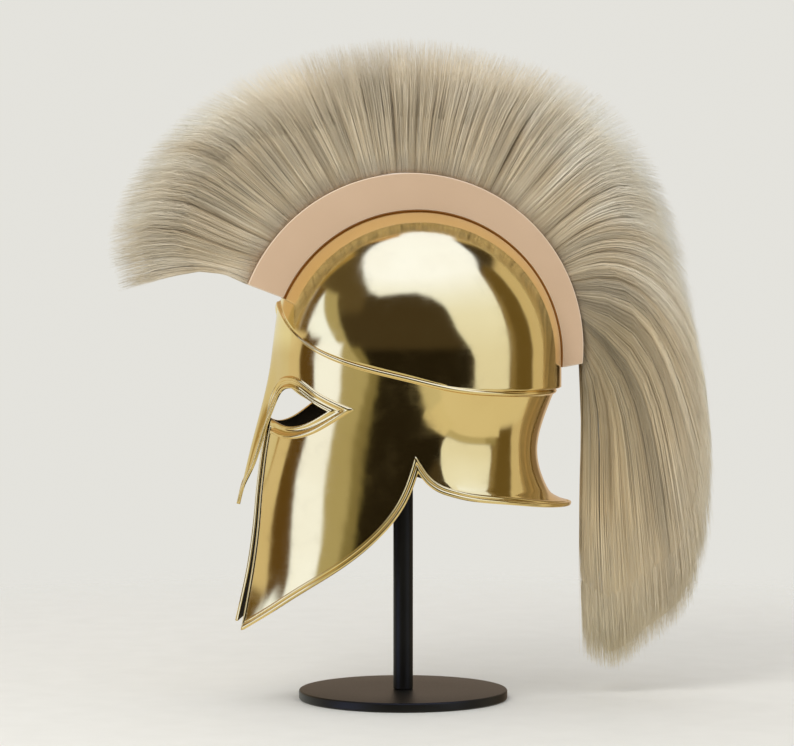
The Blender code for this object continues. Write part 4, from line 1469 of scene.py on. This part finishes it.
def blush(graph):
    """Satin paint with the slight roll of a sprayed coat."""
    where = place(graph)
    broad = graph.noise(where, 14.0, 3.0, 0.5)
    peel = graph.noise(where, 700.0, 2.0, 0.5)
    specks = graph.noise(where, 1500.0, 2.0, 0.7)
    tone = graph.mix(graph.span(broad, 0.3, 0.7), (0.640, 0.455, 0.305), (0.675, 0.485, 0.330))
    tone = graph.mix(graph.span(specks, 0.68, 0.80, 0.0, 0.35), tone, (0.52, 0.34, 0.22))
    return {
        "Base Color": tone,
        "Roughness": graph.span(broad, 0.3, 0.7, 0.42, 0.50),
        "Specular IOR Level": 0.35,
        "Normal": graph.bump(peel, 0.10, 0.0004),
    }


# The hair's colour by its tone, what it pales to up its length, and the lightest that its
# painted light makes it, low and high up it
HAIR_TONES = (
    ("tone", "red", "green", "blue"),
    (0.00, 0.440, 0.335, 0.200),
    (0.30, 0.670, 0.550, 0.370),
    (0.52, 0.810, 0.697, 0.505),
    (0.75, 0.885, 0.790, 0.610),
    (1.00, 0.930, 0.865, 0.725),
)
HAIR_PALE = (0.920, 0.840, 0.675)
HAIR_LIGHTEST = (1.000, 0.940, 0.800)
HAIR_TIP_LIGHTEST = (0.970, 0.965, 0.890)

# The tail's warmer tint, the height below which it is full and above which there is none,
# and how far back it starts to lessen and is least, in metres
TAIL_WARMTH = (1.0, 0.945, 0.81)
TAIL_WARM_HEIGHTS = (0.30, 0.345)
TAIL_WARM_BACK = (0.175, 0.235)
TAIL_WARM_LEAST = 0.35


def hair(graph):
    """Horsehair in taupes, each strand in its own tone, paler up the hair and warmer down
    the tail, with light and shade painted in from its map."""
    tone, light, _ = graph.split(graph.node("ShaderNodeUVMap", uv_map="hair").outputs[0])
    lines = graph.node("ShaderNodeUVMap", uv_map="lines").outputs[0]
    _, share, _ = graph.split(lines)
    streak = graph.noise(graph.scaled(lines, (1.0, 2.5, 1.0)), 1.0, 3.0, 0.6)
    tone = graph.math("ADD", tone, graph.span(streak, 0.25, 0.75, -0.08, 0.08))
    pale = graph.span(share, 0.35, 0.95, 0.0, 0.60, smooth=True)
    colour = graph.mix(pale, graph.ramp(tone, HAIR_TONES), HAIR_PALE)
    # Painted light and shade: the light map darkens the colour, or lightens it towards the
    # lightest colours.
    colour = graph.mix(1.0, colour, graph.math("MINIMUM", light, 1.0), "MULTIPLY")
    upper = graph.span(share, 0.72, 0.90, smooth=True)
    lightest = graph.mix(upper, HAIR_LIGHTEST, HAIR_TIP_LIGHTEST)
    colour = graph.mix(graph.span(light, 1.0, 1.6), colour, lightest)
    back, _, height = graph.split(place(graph))
    low = graph.span(height, *TAIL_WARM_HEIGHTS, 1.0, 0.0, smooth=True)
    inner = graph.span(back, *TAIL_WARM_BACK, 1.0, TAIL_WARM_LEAST, smooth=True)
    warmth = graph.mix(graph.math("MULTIPLY", low, inner), (1.0, 1.0, 1.0), TAIL_WARMTH)
    colour = graph.mix(1.0, colour, warmth, "MULTIPLY")
    return {
        "Base Color": colour,
        "Roughness": 0.50,
        "Specular IOR Level": 0.30,
        "Sheen Weight": 0.30,
        "Sheen Roughness": 0.5,
        "Sheen Tint": (0.98, 0.93, 0.82),
        "Normal": graph.bump(streak, 0.15, 0.0003),
    }


def black(graph):
    """Black satin coat, with its fine grain and a few rubbed places."""
    where = place(graph)
    grain = graph.noise(where, 1400.0, 2.0, 0.6)
    broad = graph.noise(where, 18.0, 3.0, 0.5)
    rubbed = graph.span(broad, 0.35, 0.7)
    tone = graph.mix(rubbed, (0.0058, 0.0047, 0.0032), (0.010, 0.0087, 0.0064))
    return {
        "Base Color": tone,
        "Roughness": graph.span(grain, 0.3, 0.7, 0.36, 0.48),
        "Specular IOR Level": 0.25,
        "Normal": graph.bump(grain, 0.18, 0.0003),
    }


# -------------------------------------------------------------------------- the studio

# The studio as the metal sees it, by azimuth round from the front of the studio and by
# elevation, in degrees. Each card is a patch of light or dark, with edges this soft, and
# lean is how far its azimuth moves for each degree up. Later cards cover earlier ones.
CARDS = (
    ("az_from", "az_to", "el_from", "el_to", "lean", "soft", "red", "green", "blue"),
    # the dim panel over the soft light on the left, and the darkest of the room
    (-120, -42, 28, 66, 0.0, 8, 0.11, 0.09, 0.055),
    (-36, 34, -13, 5, 0.0, 6, 0.016, 0.013, 0.008),
    # the soft light on the left: its dull edge in two steps, and its upper and lower parts
    (-40, -28, -20, 6, -0.8, 3, 0.24, 0.225, 0.13),
    (-110, -46, -24, 38, -0.8, 4, 0.47, 0.465, 0.35),
    (-110, -71, 6, 36, -1.15, 4, 1.10, 1.40, 2.50),
    (-110, -56, -24, 8, 0.3, 4, 1.11, 1.38, 2.45),
    # the walls left of the set and behind it, the brown edge beside the soft light, and the
    # pale strips low on the walls
    (-181, -122, -90, 90, 0.0, 7, 0.58, 0.42, 0.25),
    (-124, -100, -90, 60, 0.0, 5, 0.43, 0.33, 0.16),
    (-100, -89, 8, 38, 0.0, 3, 0.15, 0.10, 0.035),
    (-181, -116, -90, 10, 0.0, 3, 0.74, 0.74, 0.66),
    (-101, -82, 6, 13, -1.0, 3, 0.12, 0.075, 0.022),
    (-114, -83.8, -24, 10, 0.7, 3, 0.12, 0.075, 0.022),
    (-122, -102.9, -24, 12, 0.85, 3, 0.74, 0.70, 0.60),
    # the walls on the right
    (88, 111, -90, 46, 0.0, 4, 0.67, 0.62, 0.50),
    (108, 154, -90, 10, 0.0, 8, 0.24, 0.17, 0.10),
    (108, 150, 8, 24, 0.0, 8, 0.34, 0.26, 0.16),
    (108, 146, 22, 46, 0.0, 8, 0.50, 0.40, 0.27),
    (112, 181, 40, 75, 0.0, 8, 0.54, 0.46, 0.32),
    (150, 181, -90, 42, 0.0, 8, 0.62, 0.48, 0.36),
    # the brown and dark bands beside the light on the right
    (63, 72, -24, 50, 0.0, 5, 0.26, 0.21, 0.11),
    (70, 87.5, -24, 50, 0.0, 5, 0.15, 0.11, 0.04),
    # the table, its dark edge and its near part
    (56, 68, -24, -12, 0.0, 3, 0.36, 0.34, 0.22),
    (37, 57, -24, -12, 0.0, 3, 0.54, 0.53, 0.41),
    (36, 72, -90, -19, 0.0, 2, 0.78, 0.76, 0.66),
    (8, 38, -90, -11, 0.0, 2, 0.76, 0.74, 0.62),
    (-46, 12, -90, -13, 0.0, 3, 0.66, 0.66, 0.56),
    (-181, 181, -90, -24, 0.0, 3, 0.78, 0.76, 0.66),
)

# The lower edge of the bright ceiling, which comes down as a window on the right, and how
# soft that edge is
CEILING = (
    ("azimuth", "elevation"),
    (-180, 76), (-150, 80), (-126, 77), (-112, 72), (-96, 67), (-84, 63.5), (-72, 60),
    (-60, 55), (-50, 49), (-40, 42), (-30, 39.5), (-12, 42), (0, 42), (10, 38.5),
    (18, 34), (22, 28), (25, 18), (29, 11), (34, 4), (37, -4), (39, -12), (63, -12),
    (65, 36), (67, 44), (69, 48), (72, 51), (90, 57.5), (100, 63), (112, 66), (122, 65),
    (130, 62), (150, 70), (165, 75), (180, 76),
)
CEILING_SOFT = 4.0
# How bright the ceiling is, by elevation over 90 degrees
CEILING_LIGHT = (
    ("part_up", "red", "green", "blue"),
    (0.00, 0.90, 1.00, 1.22),
    (0.28, 0.97, 1.12, 1.52),
    (0.42, 1.04, 1.26, 2.00),
    (0.60, 1.20, 1.52, 2.90),
)


def within(graph, value, low, high, soft):
    """1 between two numbers, 0 outside them, with soft edges."""
    half = soft / 2
    rise = graph.span(value, low - half, low + half, smooth=True)
    fall = graph.span(value, high - half, high + half, 1.0, 0.0, smooth=True)
    return graph.math("MULTIPLY", rise, fall)


def studio(graph):
    """The light of the studio by direction."""
    towards = graph.node("ShaderNodeTexCoord").outputs["Generated"]
    x, y, z = graph.split(towards)
    degrees = 180 / math.pi
    azimuth = graph.math("ARCTAN2", x, graph.math("MULTIPLY", y, -1.0))
    azimuth = graph.math("MULTIPLY", azimuth, degrees)
    elevation = graph.math("MULTIPLY", graph.math("ARCSINE", z), degrees)
    light = (0.06, 0.048, 0.03)
    for low, high, bottom, top, lean, soft, *colour in CARDS[1:]:
        leant = azimuth
        if lean:
            rise = graph.math("SUBTRACT", elevation, (bottom + top) / 2)
            leant = graph.math("SUBTRACT", azimuth, graph.math("MULTIPLY", rise, lean))
        across = within(graph, leant, low, high, soft)
        up = within(graph, elevation, bottom, top, soft)
        light = graph.mix(graph.math("MULTIPLY", across, up), light, tuple(colour))
    curve = graph.node("ShaderNodeFloatCurve")
    graph.feed(curve.inputs["Value"], graph.span(azimuth, -180, 180))
    points = curve.mapping.curves[0].points
    while len(points) < len(CEILING) - 1:
        points.new(0.5, 0.5)
    for point, (turn, up) in zip(points, CEILING[1:]):
        point.location = ((turn + 180) / 360, (up + 90) / 180)
        point.handle_type = "VECTOR"
    curve.mapping.update()
    edge = graph.span(curve.outputs[0], 0, 1, -90, 90)
    over = graph.math("SUBTRACT", elevation, edge)
    bright = graph.ramp(graph.math("DIVIDE", elevation, 90.0), CEILING_LIGHT)
    half = CEILING_SOFT / 2
    return graph.mix(graph.span(over, -half, half, smooth=True), light, bright)


# What hair and paint are lit by, soft light that is brighter from above, and the backdrop
SKY_LOW = (0.50, 0.485, 0.455)
SKY_HIGH = (0.98, 0.97, 0.95)
BACKDROP = (0.775, 0.765, 0.72)

# The light for form: its place and what it is aimed at in metres, and its size and power
KEY = {
    "place": (-0.9, -1.3, 1.7), "target": (0.0, 0.0, 0.25),
    "size": 1.1, "power": 16.0, "colour": (1.0, 0.98, 0.95),
}


def world():
    """The studio round the object: cards for the metal, soft light for the rest, and a
    plain pale backdrop."""
    made = bpy.data.worlds.new("studio")
    bpy.context.scene.world = made
    made.use_nodes = True
    graph = Graph(made.node_tree)
    cards = studio(graph)
    towards = graph.node("ShaderNodeTexCoord").outputs["Generated"]
    up = graph.span(graph.split(towards)[2], -0.4, 0.9, smooth=True)
    soft = graph.mix(up, SKY_LOW, SKY_HIGH)
    ray = graph.node("ShaderNodeLightPath")
    seen = graph.mix(ray.outputs["Is Glossy Ray"], soft, cards)
    seen = graph.mix(ray.outputs["Is Camera Ray"], seen, BACKDROP)
    back = graph.node("ShaderNodeBackground")
    graph.feed(back.inputs["Color"], seen)
    output = graph.node("ShaderNodeOutputWorld")
    graph.feed(output.inputs["Surface"], back.outputs[0])


# The floor, in metres: its radius, where it starts to fade and how far from its edge it is
# gone, and its corners
FLOOR_RADIUS = 1.15
FLOOR_FADE = 0.66
FLOOR_GONE = 0.02
FLOOR_STEPS = 96


def floor():
    """A plain pale floor that fades into the backdrop."""
    turns = np.linspace(0, 2 * math.pi, FLOOR_STEPS + 1)[:-1]
    points = np.stack([np.cos(turns), np.sin(turns), 0 * turns], -1) * FLOOR_RADIUS
    points[:, 2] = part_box("stand_base")[0].z
    made = bpy.data.materials.new("pale_floor")
    made.use_nodes = True
    graph = Graph(made.node_tree)
    where = place(graph)
    grain = graph.noise(where, 30.0, 3.0, 0.5)
    shader = graph.node("ShaderNodeBsdfPrincipled")
    tone = graph.mix(graph.span(grain, 0.3, 0.7), (0.768, 0.768, 0.728), (0.793, 0.793, 0.753))
    graph.feed(shader.inputs["Base Color"], tone)
    shader.inputs["Roughness"].default_value = 0.6
    shader.inputs["Specular IOR Level"].default_value = 0.2
    away = graph.node("ShaderNodeVectorMath", operation="LENGTH")
    graph.feed(away.inputs[0], where)
    fade = graph.span(away.outputs["Value"], FLOOR_FADE, FLOOR_RADIUS - FLOOR_GONE, smooth=True)
    clear = graph.node("ShaderNodeBsdfTransparent")
    both = graph.node("ShaderNodeMixShader")
    for socket, value in zip(both.inputs, (fade, shader.outputs[0], clear.outputs[0])):
        graph.feed(socket, value)
    output = graph.node("ShaderNodeOutputMaterial")
    graph.feed(output.inputs["Surface"], both.outputs[0])
    disc = new_object("floor", points, [list(range(len(points)))], [made])
    disc.visible_glossy = False


def aimed(name, data, stand_at, aim):
    """A light or a camera at a place, which looks along a direction."""
    made = bpy.data.objects.new(name, data)
    made.location = stand_at
    made.rotation_euler = aim.to_track_quat("-Z", "Y").to_euler()
    bpy.context.scene.collection.objects.link(made)
    return made


def key_light():
    """A large soft light above and left of the camera, for form and a soft shadow."""
    lamp = bpy.data.lights.new("key", "AREA")
    lamp.shape = "DISK"
    lamp.size = KEY["size"]
    lamp.energy = KEY["power"]
    lamp.color = KEY["colour"]
    stand_at = Vector(KEY["place"])
    made = aimed("key", lamp, stand_at, Vector(KEY["target"]) - stand_at)
    made.visible_glossy = False
    made.visible_camera = False


# The camera: where it stands round the target, in degrees and metres
CAMERA = {"azimuth": -6.5, "elevation": 2.75, "distance": 2.96, "lens": 159.6}
TARGET = (-0.0052, 0.0, 0.275)


def camera():
    """The camera at the photograph's viewing angle."""
    lens = bpy.data.cameras.new("camera")
    lens.sensor_width = 36.0
    lens.lens = CAMERA["lens"]
    lens.clip_start = 0.1
    lens.clip_end = 50.0
    turn, up = math.radians(CAMERA["azimuth"]), math.radians(CAMERA["elevation"])
    away = Vector((math.sin(turn) * math.cos(up), -math.cos(turn) * math.cos(up), math.sin(up)))
    stand_at = Vector(TARGET) + away * CAMERA["distance"]
    bpy.context.scene.camera = aimed("camera", lens, stand_at, -away)


bpy.context.scene.view_settings.view_transform = "Standard"

helmet([finish_of("polished_brass", gold), finish_of("dull_brass", gold_inside)])
crest_box(
    finish_of("blush_satin", blush),
    finish_of("blush_painted_highlight", blush_edge_highlight),
    finish_of("seam_shadow_line", seam_shadow),
)
plume(finish_of("taupe_horsehair", hair))
stand(finish_of("black_coat", black))
world()
floor()
key_light()
camera()
